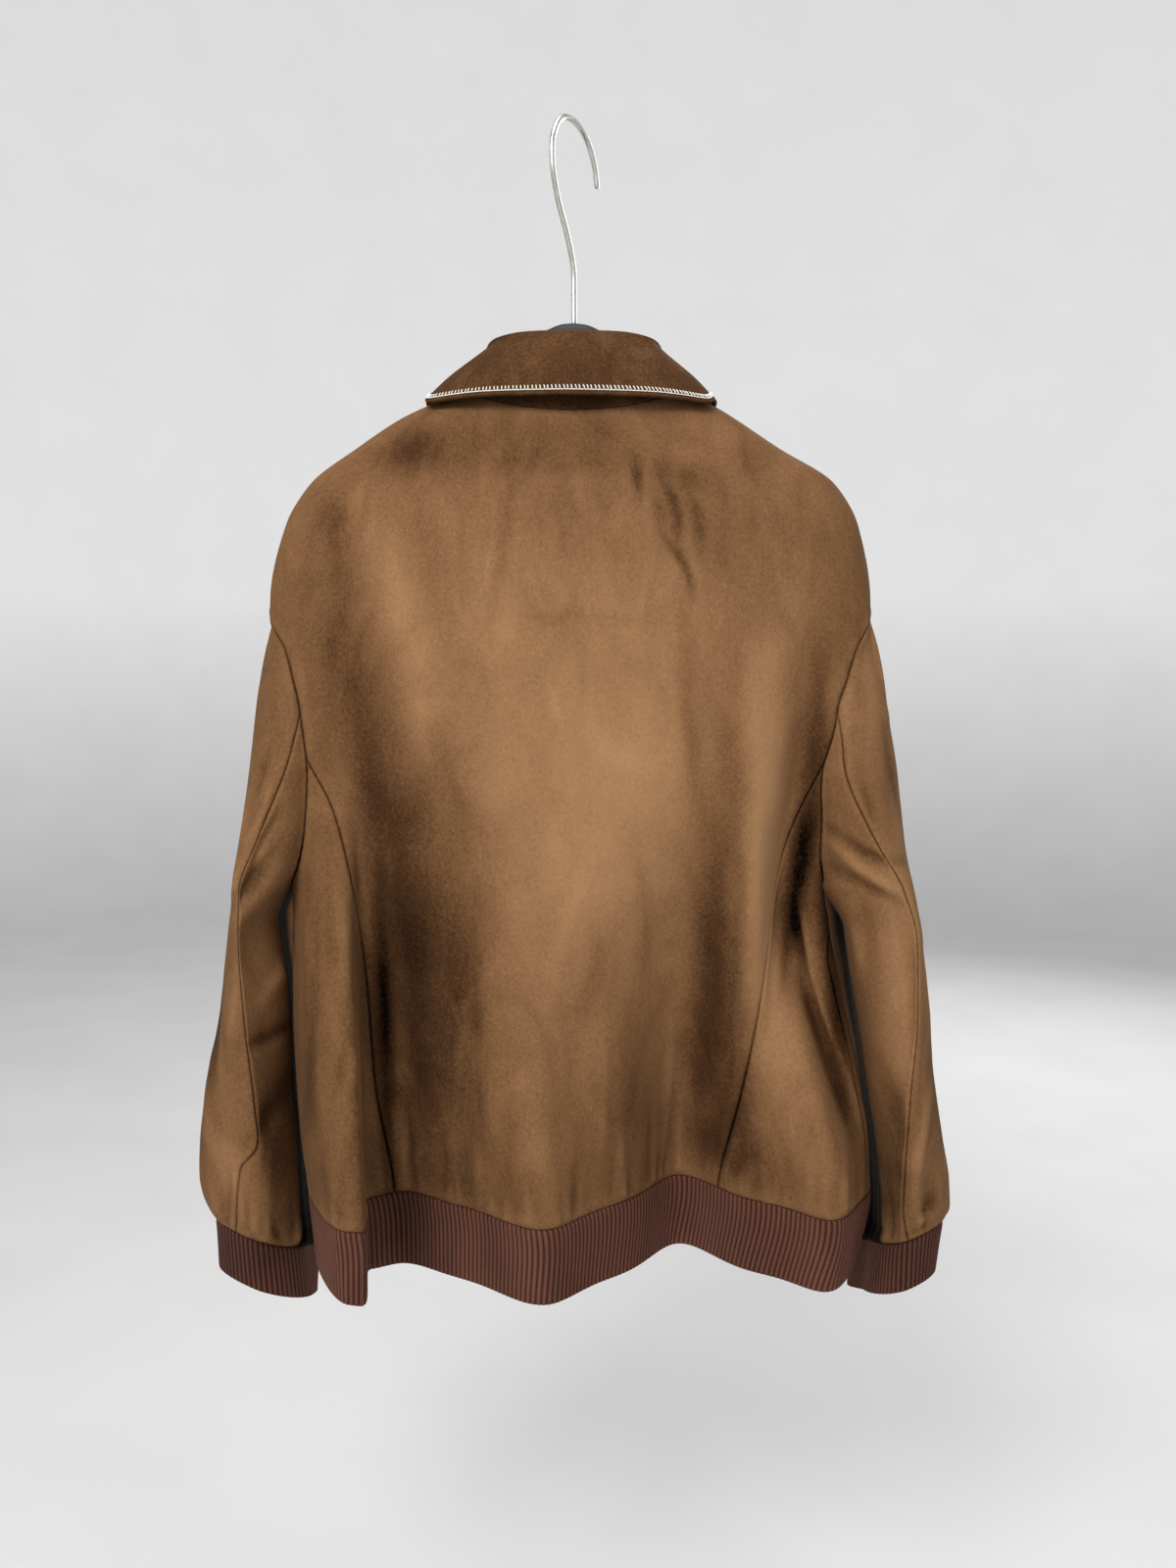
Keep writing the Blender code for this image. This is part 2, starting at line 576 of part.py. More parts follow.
def front_panel(body, side):
    name = "front_left" if side > 0 else "front_right"
    edge = body_edge(body, side, -1)
    zs = np.array([e[1] for e in edge])
    far = [(body.opening(side, z), z) for z in zs]
    s = np.linspace(0.0, 1.0, FRONT_COLS + 1)
    dip = NECK_DIP_FRONT * (1 - ramp((zs[0] - zs) / 0.42))[:, None]
    drop = dip * np.sin(np.pi / 2 * s) ** 0.9 + fan(len(zs)) * ramp(s / 0.4)
    t, z = grid(body, edge, far, drop)
    t[:, -1] = body.opening(side, z[:, -1])
    return Panel(name, body.point(t, z), body.normal(t, z), WALL, level_bottom=True)


def along_fold(body, side, ta, tb, z):
    """Angles of a side panel's columns, which keep to the lines of its largest fold."""
    way = np.clip((SIDE_FOLD[side][2] - z) / (SIDE_FOLD[side][2] - HEM_SEAM), 0.0, 1.0)
    line = SIDE_FOLD[side][1] + (SIDE_FOLD[side][3] - SIDE_FOLD[side][1]) * way
    centre = (body.left(z) + body.right(z)) / 2
    half = (body.left(z) - body.right(z)) / 2
    xa = centre + half * power(np.cos(ta), 2 / body.square(z))
    xb = centre + half * power(np.cos(tb), 2 / body.square(z))
    run = np.array((0.0,) + SIDE_RUN[side] + (2.0,))[None]
    x = xa + (line - xa) * np.minimum(run, 1.0) + (xb - line) * np.maximum(run - 1.0, 0.0)
    t = body.angle(x, z)
    t[:, 0] = ta[:, 0]
    t[:, -1] = tb[:, -1]
    return t


def side_panel(body, side):
    """Body side below the armhole; its top edge is the bottom of the armhole."""
    name = "side_left" if side > 0 else "side_right"
    tops = UNDER_ARM[1:-1]
    top_t = np.array([body.armhole(side, z, face) for z, face in tops])
    top_z = np.array([z for z, face in tops])
    v = np.linspace(0.0, 1.0, len(SIDE_BACK_ROWS))
    z = top_z[None] + (HEM_SEAM - top_z[None]) * v[:, None]
    z[:, 0] = SIDE_BACK_ROWS
    z[:, -1] = SIDE_FRONT_ROWS
    ta = body.side_back(side, z)
    tb = body.side_front(side, z)
    first = (top_t - ta[0]) / (tb[0] - ta[0])
    mix = ramp(v / 0.45)[:, None]
    t = (ta + (tb - ta) * first[None]) * (1 - mix) + along_fold(body, side, ta, tb, z) * mix
    p = body.point(t, z)
    n = body.normal(t, z)
    p[0] = body.point(top_t, top_z)
    return Panel(name, p, n, WALL, level_bottom=True)


def fair(p, top, bottom):
    """Bend the rows from top up to bottom as little as possible, between those around them."""
    cols = p.shape[1]
    free = [(r, c) for r in range(top, bottom) for c in range(1, cols - 1)]
    place = {key: k for k, key in enumerate(free)}
    spots = [(r, c) for r in range(top, bottom + 1) for c in range(1, cols - 1)]
    left = np.zeros((len(spots), len(place)))
    right = np.zeros((len(spots), 3))
    for k, (r, c) in enumerate(spots):
        ring = (((r, c), 4.0), ((r - 1, c), -1.0), ((r + 1, c), -1.0), ((r, c - 1), -1.0),
                ((r, c + 1), -1.0))
        for key, weight in ring:
            if key in place:
                left[k, place[key]] = weight
            else:
                right[k] -= weight * p[key]
    found = np.linalg.lstsq(left, right, rcond=None)[0]
    for key, k in place.items():
        p[key] = found[k]


def sleeve_top(sleeve, body):
    """Outer part of a sleeve, from the armhole's top to the cuff.

    Its first rows are made fair, so the cap springs smoothly from the armhole."""
    side = sleeve.side
    name = "sleeve_top_left" if side > 0 else "sleeve_top_right"
    back = [(sleeve.arm(z, 1), z) for z in BACK_ARM_ROWS[:-1]]
    back += [(float(sleeve.seam(z, 1)), z) for z in SLEEVE_BACK_ROWS[1:]]
    front = [(sleeve.arm(z, -1), z) for z in FRONT_ARM_ROWS[:-1]]
    front += [(float(sleeve.seam(z, -1)), z) for z in SLEEVE_FRONT_ROWS[1:]]
    s = np.linspace(0.0, 1.0, SLEEVE_COLS + 1)
    ab = np.array([e[0] for e in back])[:, None]
    af = np.array([e[0] for e in front])[:, None]
    zb = np.array([e[1] for e in back])[:, None]
    zf = np.array([e[1] for e in front])[:, None]
    a = ab + (af - ab) * s[None]
    drop = np.zeros((len(back), 1))
    drop[:len(SLEEVE_FAN), 0] = SLEEVE_FAN
    z = zb + (zf - zb) * s[None] - drop * np.sin(np.pi * s)
    p = sleeve.point(a, z)
    n = sleeve.normal(a, z)
    count = len(BACK_ARM_ROWS) - 1
    for r in range(count):
        p[r, 0] = body.point(body.armhole(side, zb[r, 0], 1), zb[r, 0])
        p[r, -1] = body.point(body.armhole(side, zf[r, 0], -1), zf[r, 0])
    p[0] = p[0, 0]
    fair(p, 1, 6)
    n[:7] = facing(p, n)[:7]
    n[0] = n[1, SLEEVE_COLS // 2]
    return Panel(name, p, n, WALL, level_bottom=True)


def sleeve_under(sleeve, body):
    """Inner part of a sleeve, under the arm, from the armhole's bottom to the cuff."""
    side = sleeve.side
    name = "sleeve_under_left" if side > 0 else "sleeve_under_right"
    top_z = np.array([z for z, face in UNDER_ARM])
    top_a = np.array([sleeve.arm(z, face) % (2 * np.pi) for z, face in UNDER_ARM])
    rows = len(SLEEVE_BACK_ROWS)
    cols = len(UNDER_ARM)
    v = (np.array(SLEEVE_BACK_ROWS) - SLEEVE_BACK_ROWS[0]) / (CUFF_SEAM - SLEEVE_BACK_ROWS[0])
    z = top_z[None] + (CUFF_SEAM - top_z[None]) * v[:, None]
    z[:, 0] = SLEEVE_BACK_ROWS
    z[:, -1] = SLEEVE_FRONT_ROWS
    a0 = sleeve.seam(z, 1)
    a1 = 2 * np.pi + sleeve.seam(z, -1)
    first = (top_a - a0[0]) / (a1[0] - a0[0])
    even = np.linspace(0.0, 1.0, cols)
    mix = ramp(v / 0.5)[:, None]
    share = first[None] * (1 - mix) + even[None] * mix
    a = a0 + (a1 - a0) * share
    p = sleeve.point(a, z)
    n = sleeve.normal(a, z)
    for c, (zc, face) in enumerate(UNDER_ARM):
        p[0, c] = body.point(body.armhole(side, zc, face), zc)
    return Panel(name, p, n, WALL, level_bottom=True)


def collar_panels(body, back, fronts):
    """Stand from the neck seam up to the fold, and the leaf that turns over it."""
    left = fronts[1].p[0][::-1]
    left_n = fronts[1].n[0][::-1]
    right = fronts[-1].p[0]
    right_n = fronts[-1].n[0]
    neck = np.concatenate([left, back.p[0][1:], right[1:]])
    neck_n = np.concatenate([left_n, back.n[0][1:], right_n[1:]])
    run = np.concatenate([[0.0], np.cumsum(np.linalg.norm(np.diff(neck, axis=0), axis=1))])
    middle = (len(neck) - 1) // 2
    reach = np.where(run < run[middle], (run[middle] - run) / run[middle],
                     (run - run[middle]) / (run[-1] - run[middle]))
    sides = np.where(run < run[middle], 1.0, -1.0)
    fold = fold_line(reach, sides)
    lift = np.array([0.0, 0.5, 1.0])[:, None, None]
    p = (neck + (fold - neck) * lift)[::-1]
    out = neck - np.array([0.0, 0.0, 1.0]) * neck[:, 2:3]
    out = out / np.linalg.norm(out, axis=1, keepdims=True)
    n = facing(p, out)
    stand = Panel("collar_stand", p, n, WALL)
    cols = 26
    q = np.linspace(1.0, -1.0, cols + 1)
    reach = np.abs(q)
    sides = np.where(q > 0, 1.0, -1.0)
    fold = fold_line(reach, sides)
    edge = leaf_edge(body, reach, sides)
    away = edge - fold
    away[:, 2] = 0.0
    away = away / np.linalg.norm(away, axis=1, keepdims=True)
    up = np.array([0.0, 0.0, 1.0])
    along = np.gradient(fold, axis=0)
    turn = np.stack([-along[:, 1], along[:, 0], 0 * q], axis=1)
    turn = turn / np.linalg.norm(turn, axis=1, keepdims=True)
    turn = turn * np.sign((turn * away).sum(axis=1).mean())
    rows = []
    for out, rise in ((-WALL, 0.0003), (-0.0016, 0.0024), (0.0016, 0.0048), (0.0062, 0.0036)):
        rows.append(fold + turn * out + up * rise)
    over = fold + turn * 0.0050 + away * 0.0040 - up * 0.0015
    middle = over + (edge - over) * 0.5 + away * 0.0030
    rows += [over, middle, edge]
    p = np.stack(rows)
    n = facing(p, turn + up * 0.3)
    leaf = Panel("collar_leaf", p, n, LEAF_WALL)
    return stand, leaf


def fold_line(reach, sides):
    x = curve(COLLAR, 1)(reach) * sides
    y = curve(COLLAR, 2)(reach)
    z = curve(COLLAR, 3)(reach)
    return np.stack([x, y, z], axis=-1)


def leaf_edge(body, reach, sides):
    t = np.radians(curve(COLLAR, 4)(reach))
    z = curve(COLLAR, 5)(reach)
    off = curve(COLLAR, 6)(reach)
    t = np.where(sides > 0, t, np.pi - t)
    return body.point(t, z) + body.normal(t, z) * off[..., None]


def facing(p, out):
    """Grid normals turned to the side of the given outward directions."""
    down = np.gradient(p, axis=0)
    across = np.gradient(p, axis=1)
    n = np.cross(down, across)
    n = n / np.maximum(np.linalg.norm(n, axis=-1, keepdims=True), 1e-9)
    turn = np.sign((n * out).sum(axis=-1).mean())
    return n * turn


def close_seams(panels):
    """Outer and inner points of each panel, set back from the seams it shares."""
    rims = {panel.name: panel.inward() for panel in panels}
    places = {}
    for panel in panels:
        for key, (here, n, way, stretch) in rims[panel.name].items():
            places.setdefault(tuple(np.round(here * 1e5).astype(int)), []).append((panel.name, key))
    solids = {}
    for panel in panels:
        outer = panel.p.copy()
        mitre = panel.n.copy()
        rows, cols = outer.shape[:2]
        for key, (here, n, way, stretch) in rims[panel.name].items():
            spot = tuple(np.round(here * 1e5).astype(int))
            others = [(name, k) for name, k in near_spots(places, spot) if name != panel.name]
            shift = way * stretch
            shared = n
            if others:
                ways = sum(rims[name][k][2] for name, k in others)
                ways = ways / max(np.linalg.norm(ways), 1e-9)
                shift = way - ways
                size = np.linalg.norm(shift)
                shift = shift / size * stretch if size > 1e-3 else -n
                others_n = sum(rims[name][k][1] for name, k in others)
                others_n = others_n / max(np.linalg.norm(others_n), 1e-9)
                if np.dot(n, others_n) > 0.15:
                    shared = n + others_n
                    shared = shared / np.linalg.norm(shared)
                    shared = shared / max(0.6, float(np.dot(shared, n)))
            outer[key] = here + shift * HALF_GAP
            mitre[key] = shared
            if panel.level_bottom and key[0] == rows - 1:
                flat = np.array([mitre[key][0], mitre[key][1], 0.0])
                mitre[key] = flat / np.linalg.norm(flat)
                sideways = way * 1.0
                sideways[2] = 0.0
                move = sideways * HALF_GAP if key[1] in (0, cols - 1) else 0.0 * way
                outer[key] = here + move + np.array([0.0, 0.0, HALF_GAP])
        first = panel.p[0]
        if np.linalg.norm(first[0] - first[-1]) < 1e-6:
            mitre[0] = mitre[0, 0]
            outer[0] = outer[0, 0]
        solids[panel.name] = (outer, outer - mitre * panel.wall)
    return solids


def near_spots(places, spot):
    found = []
    for dx in (-1, 0, 1):
        for dy in (-1, 0, 1):
            for dz in (-1, 0, 1):
                found += places.get((spot[0] + dx, spot[1] + dy, spot[2] + dz), [])
    return found


def shell(name, outer, inner, material):
    """Closed wall between two grids of points."""
    rows, cols = outer.shape[:2]
    verts = []
    lookup = {}
    ids = np.zeros((2, rows, cols), int)
    for layer, pts in enumerate((outer, inner)):
        for r in range(rows):
            for c in range(cols):
                key = (layer,) + tuple(np.round(pts[r, c] * 1e7).astype(int))
                if key not in lookup:
                    lookup[key] = len(verts)
                    verts.append(tuple(pts[r, c]))
                ids[layer, r, c] = lookup[key]
    faces = []

    def quad(a, b, c, d):
        ring = []
        for v in (a, b, c, d):
            if v not in ring:
                ring.append(int(v))
        if len(ring) > 2:
            faces.append(ring)

    for r in range(rows - 1):
        for c in range(cols - 1):
            quad(ids[0, r, c], ids[0, r + 1, c], ids[0, r + 1, c + 1], ids[0, r, c + 1])
            quad(ids[1, r, c], ids[1, r, c + 1], ids[1, r + 1, c + 1], ids[1, r + 1, c])
    for c in range(cols - 1):
        quad(ids[0, 0, c], ids[0, 0, c + 1], ids[1, 0, c + 1], ids[1, 0, c])
        quad(ids[0, -1, c], ids[1, -1, c], ids[1, -1, c + 1], ids[0, -1, c + 1])
    for r in range(rows - 1):
        quad(ids[0, r, 0], ids[1, r, 0], ids[1, r + 1, 0], ids[0, r + 1, 0])
        quad(ids[0, r, -1], ids[0, r + 1, -1], ids[1, r + 1, -1], ids[1, r, -1])
    return solid(name, verts, faces, material)


def solid(name, verts, faces, material):
    """Mesh object with triangulated faces turned outward."""
    bm = bmesh.new()
    made = [bm.verts.new(v) for v in verts]
    for face in faces:
        bm.faces.new([made[i] for i in face])
    bmesh.ops.triangulate(bm, faces=bm.faces[:], quad_method="SHORT_EDGE")
    bmesh.ops.recalc_face_normals(bm, faces=bm.faces[:])
    if bm.calc_volume(signed=True) < 0:
        bmesh.ops.reverse_faces(bm, faces=bm.faces[:])
    mesh = bpy.data.meshes.new(name)
    bm.to_mesh(mesh)
    bm.free()
    mesh.materials.append(material)
    obj = bpy.data.objects.new(name, mesh)
    bpy.data.collections[COLLECTION].objects.link(obj)
    return obj


def rib_band(name, outline, facing_out, top, bottom, count, closed, material):
    """Knitted band: ribs raised on the outside of a plain inside.

    outline(u, z) and facing_out(u, z) give the base wall's outer point and direction."""
    marks = np.arange(count * 2 + (0 if closed else 1)) / (count * 2.0)
    rise = np.where(np.arange(len(marks)) % 2 == 1, RIB_RISE, 0.0)
    rise = rise[:, None]
    inner_marks = np.arange(count + (0 if closed else 1)) / float(count)
    verts = []
    rings = []
    for z in (top, bottom):
        base = outline(marks, z) + facing_out(marks, z) * rise
        inside = outline(inner_marks, z) - facing_out(inner_marks, z) * RIB_WALL
        start = len(verts)
        verts += [tuple(v) for v in base]
        middle = len(verts)
        verts += [tuple(v) for v in inside]
        rings.append((start, middle))
    outs = len(marks)
    inns = len(inner_marks)
    faces = []
    for k in range(count):
        o = [(2 * k + j) % outs if closed else 2 * k + j for j in range(3)]
        i = [k % inns, (k + 1) % inns if closed else k + 1]
        (ot, it), (ob, ib) = rings
        faces.append([ot + o[0], ob + o[0], ob + o[1], ot + o[1]])
        faces.append([ot + o[1], ob + o[1], ob + o[2], ot + o[2]])
        faces.append([it + i[0], it + i[1], ib + i[1], ib + i[0]])
        for a, b, flip in ((ot, it, 1), (ob, ib, -1)):
            faces.append([a + o[0], a + o[1], b + i[0]][::flip])
            faces.append([a + o[1], a + o[2], b + i[1]][::flip])
            faces.append([a + o[1], b + i[1], b + i[0]][::flip])
    if not closed:
        (ot, it), (ob, ib) = rings
        faces.append([ot, it, ib, ob])
        last = outs - 1
        faces.append([ot + last, ob + last, ib + inns - 1, it + inns - 1])
    return solid(name, verts, faces, material)


def hem_band(body, material):
    top = HEM_SEAM - HALF_GAP

    def angles(u, z):
        t = np.linspace(float(body.opening(1, z)), float(body.opening(-1, z)), 2401)
        p = body.point(t, z)
        run = np.concatenate([[0.0], np.cumsum(np.linalg.norm(np.diff(p, axis=0), axis=1))])
        return np.interp(u * run[-1], run, t)

    def outline(u, z):
        pts = body.point(angles(u, z), z + 0 * u)
        pts[0, 0] = OPENING_HALF + HALF_GAP
        pts[-1, 0] = -OPENING_HALF - HALF_GAP
        return pts

    def facing_out(u, z):
        n = body.normal(angles(u, z), z + 0 * u)
        n[:, 2] = 0.0
        n[0] = (0.0, -1.0, 0.0)
        n[-1] = (0.0, -1.0, 0.0)
        return n / np.linalg.norm(n, axis=1, keepdims=True)

    return rib_band("hem_rib", outline, facing_out, top, HEM_EDGE, HEM_RIBS, False, material)


def cuff_band(sleeve, material):
    name = "cuff_left" if sleeve.side > 0 else "cuff_right"
    dense = np.linspace(0.0, 2 * np.pi, 1201)
    p = cuff_point(sleeve, dense, CUFF_EDGE + 0 * dense)
    run = np.concatenate([[0.0], np.cumsum(np.linalg.norm(np.diff(p, axis=0), axis=1))])

    def outline(u, z):
        a = np.interp(u * run[-1], run, dense)
        return cuff_point(sleeve, a, z + 0 * a)

    def facing_out(u, z):
        a = np.interp(u * run[-1], run, dense)
        d = cuff_point(sleeve, a + 0.03, z + 0 * a) - cuff_point(sleeve, a - 0.03, z + 0 * a)
        n = np.stack([d[:, 1], -d[:, 0], 0 * a], axis=1) * sleeve.side
        return n / np.linalg.norm(n, axis=1, keepdims=True)

    top = CUFF_SEAM - HALF_GAP
    return rib_band(name, outline, facing_out, top, CUFF_EDGE, CUFF_RIBS, True, material)


def cuff_point(sleeve, a, z):
    """The cuff stands a little inside the sleeve's gathered end."""
    p = sleeve.point(a, z)
    centre = (p.max(axis=0) + p.min(axis=0)) / 2
    pull = np.array([0.97, 0.95, 1.0])
    return centre + (p - centre) * pull


def tube(name, path, radius, sides, material):
    """Round wire along a path, closed by flat ends."""
    path = np.asarray(path, float)
    along = np.gradient(path, axis=0)
    along = along / np.linalg.norm(along, axis=1, keepdims=True)
    flat = np.array([-math.sin(HOOK_TURN), math.cos(HOOK_TURN), 0.0])
    verts = []
    for p, d in zip(path, along):
        b = np.cross(d, flat)
        b = b / np.linalg.norm(b)
        for k in range(sides):
            w = 2 * math.pi * k / sides
            verts.append(tuple(p + radius * (math.cos(w) * flat + math.sin(w) * b)))
    faces = []
    for r in range(len(path) - 1):
        for k in range(sides):
            a = r * sides + k
            b = r * sides + (k + 1) % sides
            faces.append([a, b, b + sides, a + sides])
    faces.append(list(range(sides)))
    faces.append([(len(path) - 1) * sides + k for k in range(sides)])
    return solid(name, verts, faces, material)


def hook(material):
    rows = np.array(HOOK, float)
    run = np.concatenate([[0.0], np.cumsum(np.linalg.norm(np.diff(rows, axis=0), axis=1))])
    q = np.linspace(0.0, run[-1], 31)
    u = smooth(run, rows[:, 0], q)
    z = smooth(run, rows[:, 1], q)
    z[0] = HOOK[0][1]
    path = np.stack([u * math.cos(HOOK_TURN), u * math.sin(HOOK_TURN), z], axis=1)
    return tube("hanger_hook", path, WIRE_RADIUS, 10, material)


def smooth(xs, ys, q):
    """Catmull-Rom curve through points at uneven stations."""
    m = np.gradient(ys, xs)
    k = np.clip(np.searchsorted(xs, q, side="right") - 1, 0, len(xs) - 2)
    h = xs[k + 1] - xs[k]
    u = (q - xs[k]) / h
    a = (1 + 2 * u) * (1 - u) ** 2 * ys[k] + u * (1 - u) ** 2 * h * m[k]
    b = u * u * (3 - 2 * u) * ys[k + 1] + u * u * (u - 1) * h * m[k + 1]
    return a + b


def hanger(material):
    """Arms that carry the shoulders, swelling into a dome under the hook."""
    xs = [row[0] for row in HANGER]
    top = curve(HANGER, 1)
    high = curve(HANGER, 2)
    deep = curve(HANGER, 3)
    half = [x for x in xs if x > 0]
    stations = [-x for x in half[::-1]] + [0.0] + half
    sides = 12
    verts = []
    for x in stations:
        a = abs(x)
        slope = float(top(a + 0.002) - top(max(a - 0.002, 0.0))) / 0.004
        if a < 0.003:
            slope = 0.0
        tilt = np.array([-math.copysign(1.0, x) * slope, 0.0, 1.0])
        tilt = tilt / np.linalg.norm(tilt)
        h = float(high(a))
        w = float(deep(a))
        centre = np.array([x, 0.0, float(top(a)) + HANGER_TILT * x]) - tilt * h
        for k in range(sides):
            g = 2 * math.pi * k / sides
            verts.append(tuple(centre + tilt * h * math.cos(g) + np.array([0.0, w * math.sin(g), 0.0])))
    faces = []
    for r in range(len(stations) - 1):
        for k in range(sides):
            a = r * sides + k
            b = r * sides + (k + 1) % sides
            faces.append([a, b, b + sides, a + sides])
    faces.append(list(range(sides)))
    faces.append([(len(stations) - 1) * sides + k for k in range(sides)])
    return solid("hanger_body", verts, faces, material)


def zip_chain(body, top_z, material):
    """Closed row of teeth between the two fronts, from the neck to the hem's edge."""
    zs = steps(top_z, 10, HEM_SEAM, 1, HEM_EDGE)
    half = OPENING_HALF - HALF_GAP
    face = np.array([body.point(-np.pi / 2, z) for z in zs])
    outer = []
    inner = []
    for p in face:
        row = [(half, p[1] - 0.0004, p[2]), (0.0, p[1] - 0.0004, p[2]), (-half, p[1] - 0.0004, p[2])]
        outer.append(row)
        inner.append([(x, y + 0.0024, z) for x, y, z in row])
    return shell("zip_chain", np.array(outer), np.array(inner), material)


def box_cells(name, cells, x0, x1, material):
    """Solid from quads drawn side on (y, z) and drawn out from x0 to x1."""
    lookup = {}
    verts = []
    edges = {}
    faces = []
    for cell in cells:
        ring = []
        for y, z in cell:
            key = (round(y * 1e6), round(z * 1e6))
            if key not in lookup:
                lookup[key] = len(verts) // 2
                verts += [(x0, y, z), (x1, y, z)]
            ring.append(lookup[key])
        faces.append([2 * i for i in ring])
        faces.append([2 * i + 1 for i in ring[::-1]])
        for a, b in zip(ring, ring[1:] + ring[:1]):
            edges.setdefault(frozenset((a, b)), []).append((a, b))
    for pair in edges.values():
        if len(pair) == 1:
            a, b = pair[0]
            faces.append([2 * a, 2 * b, 2 * b + 1, 2 * a + 1])
    return solid(name, verts, faces, material)


PULL_PIN = 0.0008
PULL_HOLE = 0.0012
PULL_EYE = 0.0023
PULL_HALF = 0.0016
PULL_LENGTH = 0.026
SLIDER_HALF = 0.0045
SLIDER_DROP = 0.012


def zip_slider(body, z, material):
    """Slider at the top of the closed zip: a block with two ears and the pull's pin."""
    face = float(body.point(-np.pi / 2, z)[1]) - 0.0004 - 2 * HALF_GAP
    low = float(body.point(-np.pi / 2, z - SLIDER_DROP)[1]) - 0.0004 - 2 * HALF_GAP
    back = min(face, low)
    front = back - 0.0022
    pin_y = front - 0.0026
    pin_z = z - 0.004
    verts, faces = slider_mesh(back, front, z, pin_y, pin_z)
    return solid("zip_slider", verts, faces, material), (pin_y, pin_z)


def slider_mesh(back, front, z, pin_y, pin_z):
    """Block, two ears standing on it and a pin from ear to ear, as one skin."""
    ear = PULL_HALF + 0.0003
    xs = [-SLIDER_HALF, -ear - 0.0014, -ear, ear, ear + 0.0014, SLIDER_HALF]
    r = PULL_PIN
    ys = [back, front, pin_y + r, pin_y - r, pin_y - r - 0.0008]
    zs = [z, pin_z + r + 0.0012, pin_z + r, pin_z - r, pin_z - r - 0.0012, z - SLIDER_DROP]
    filled = set()
    for i in range(5):
        for k in range(5):
            filled.add((i, 0, k))
    for i in (1, 3):
        for j in (1, 2, 3):
            for k in (1, 2, 3):
                filled.add((i, j, k))
    filled.add((2, 2, 2))
    verts = []
    lookup = {}
    faces = []

    def vid(i, j, k):
        key = (i, j, k)
        if key not in lookup:
            lookup[key] = len(verts)
            verts.append((xs[i], ys[j], zs[k]))
        return lookup[key]

    sides = (((1, 0, 0), ((1, 0, 0), (1, 1, 0), (1, 1, 1), (1, 0, 1))),
             ((-1, 0, 0), ((0, 0, 0), (0, 0, 1), (0, 1, 1), (0, 1, 0))),
             ((0, 1, 0), ((0, 1, 0), (0, 1, 1), (1, 1, 1), (1, 1, 0))),
             ((0, -1, 0), ((0, 0, 0), (1, 0, 0), (1, 0, 1), (0, 0, 1))),
             ((0, 0, 1), ((0, 0, 1), (1, 0, 1), (1, 1, 1), (0, 1, 1))),
             ((0, 0, -1), ((0, 0, 0), (0, 1, 0), (1, 1, 0), (1, 0, 0))))
    for i, j, k in filled:
        for (di, dj, dk), corners in sides:
            if (i + di, j + dj, k + dk) not in filled:
                faces.append([vid(i + a, j + b, k + c) for a, b, c in corners])
    return verts, faces


def zip_pull(pin, material):
    """Tab with an eye round the slider's pin, hanging straight down."""
    pin_y, pin_z = pin
    count = 12
    cells = []
    half = 0.0007
    ring = []
    for k in range(count):
        g = 2 * math.pi * (k + 0.5) / count
        ring.append((math.sin(g), -math.cos(g)))
    for k in range(count):
        a = ring[k]
        b = ring[(k + 1) % count]
        cells.append([(pin_y + PULL_HOLE * a[0], pin_z + PULL_HOLE * a[1]),
                      (pin_y + PULL_EYE * a[0], pin_z + PULL_EYE * a[1]),
                      (pin_y + PULL_EYE * b[0], pin_z + PULL_EYE * b[1]),
                      (pin_y + PULL_HOLE * b[0], pin_z + PULL_HOLE * b[1])])
    a = ring[count - 1]
    b = ring[0]
    y0 = pin_y + PULL_EYE * a[0]
    y1 = pin_y + PULL_EYE * b[0]
    z0 = pin_z + PULL_EYE * a[1]
    mid = pin_z - PULL_EYE - 0.0016
    low = pin_z - PULL_LENGTH
    cells.append([(y0, z0), (pin_y - half, mid), (pin_y + half, mid), (y1, z0)])
    cells.append([(pin_y - half, mid), (pin_y - half, low), (pin_y + half, low), (pin_y + half, mid)])
    return box_cells("zip_pull", cells, -PULL_HALF, PULL_HALF, material)


def principled(name, colour, rough, metal=0.0):
    material = bpy.data.materials.new(name)
    material.use_nodes = True
    shader = material.node_tree.nodes["Principled BSDF"]
    shader.inputs["Base Color"].default_value = colour
    shader.inputs["Roughness"].default_value = rough
    shader.inputs["Metallic"].default_value = metal
    material.diffuse_color = colour
    return material


def main():
    for obj in list(bpy.data.objects):
        bpy.data.objects.remove(obj)
    group = bpy.data.collections.new(COLLECTION)
    bpy.context.scene.collection.children.link(group)
    body = Body()
    back = back_panel(body)
    fronts = {side: front_panel(body, side) for side in (1, -1)}
    panels = [back, fronts[1], fronts[-1], side_panel(body, 1), side_panel(body, -1)]
    sleeves = {side: Sleeve(side, body) for side in (1, -1)}
    for side in (1, -1):
        panels.append(sleeve_top(sleeves[side], body))
        panels.append(sleeve_under(sleeves[side], body))
    stand, leaf = collar_panels(body, back, fronts)
    panels += [stand, leaf]
    walls = close_seams(panels)
    for panel in panels:
        outer, inner = walls[panel.name]
        shell(panel.name, outer, inner, principled(panel.name + "_suede", SUEDE, 0.9))
    hem_band(body, principled("hem_rib_knit", KNIT, 0.95))
    for side, word in ((1, "left"), (-1, "right")):
        cuff_band(sleeves[side], principled("cuff_%s_knit" % word, KNIT, 0.95))
    top_z = float(fronts[1].p[0, -1, 2])
    zip_chain(body, top_z, principled("zip_chain_metal", STEEL, 0.45, 1.0))
    slider, pin = zip_slider(body, top_z - 0.004, principled("zip_slider_metal", STEEL, 0.35, 1.0))
    zip_pull(pin, principled("zip_pull_metal", STEEL, 0.35, 1.0))
    hanger(principled("hanger_body_plastic", PLASTIC, 0.4))
    hook(principled("hanger_hook_steel", STEEL, 0.3, 1.0))


main()
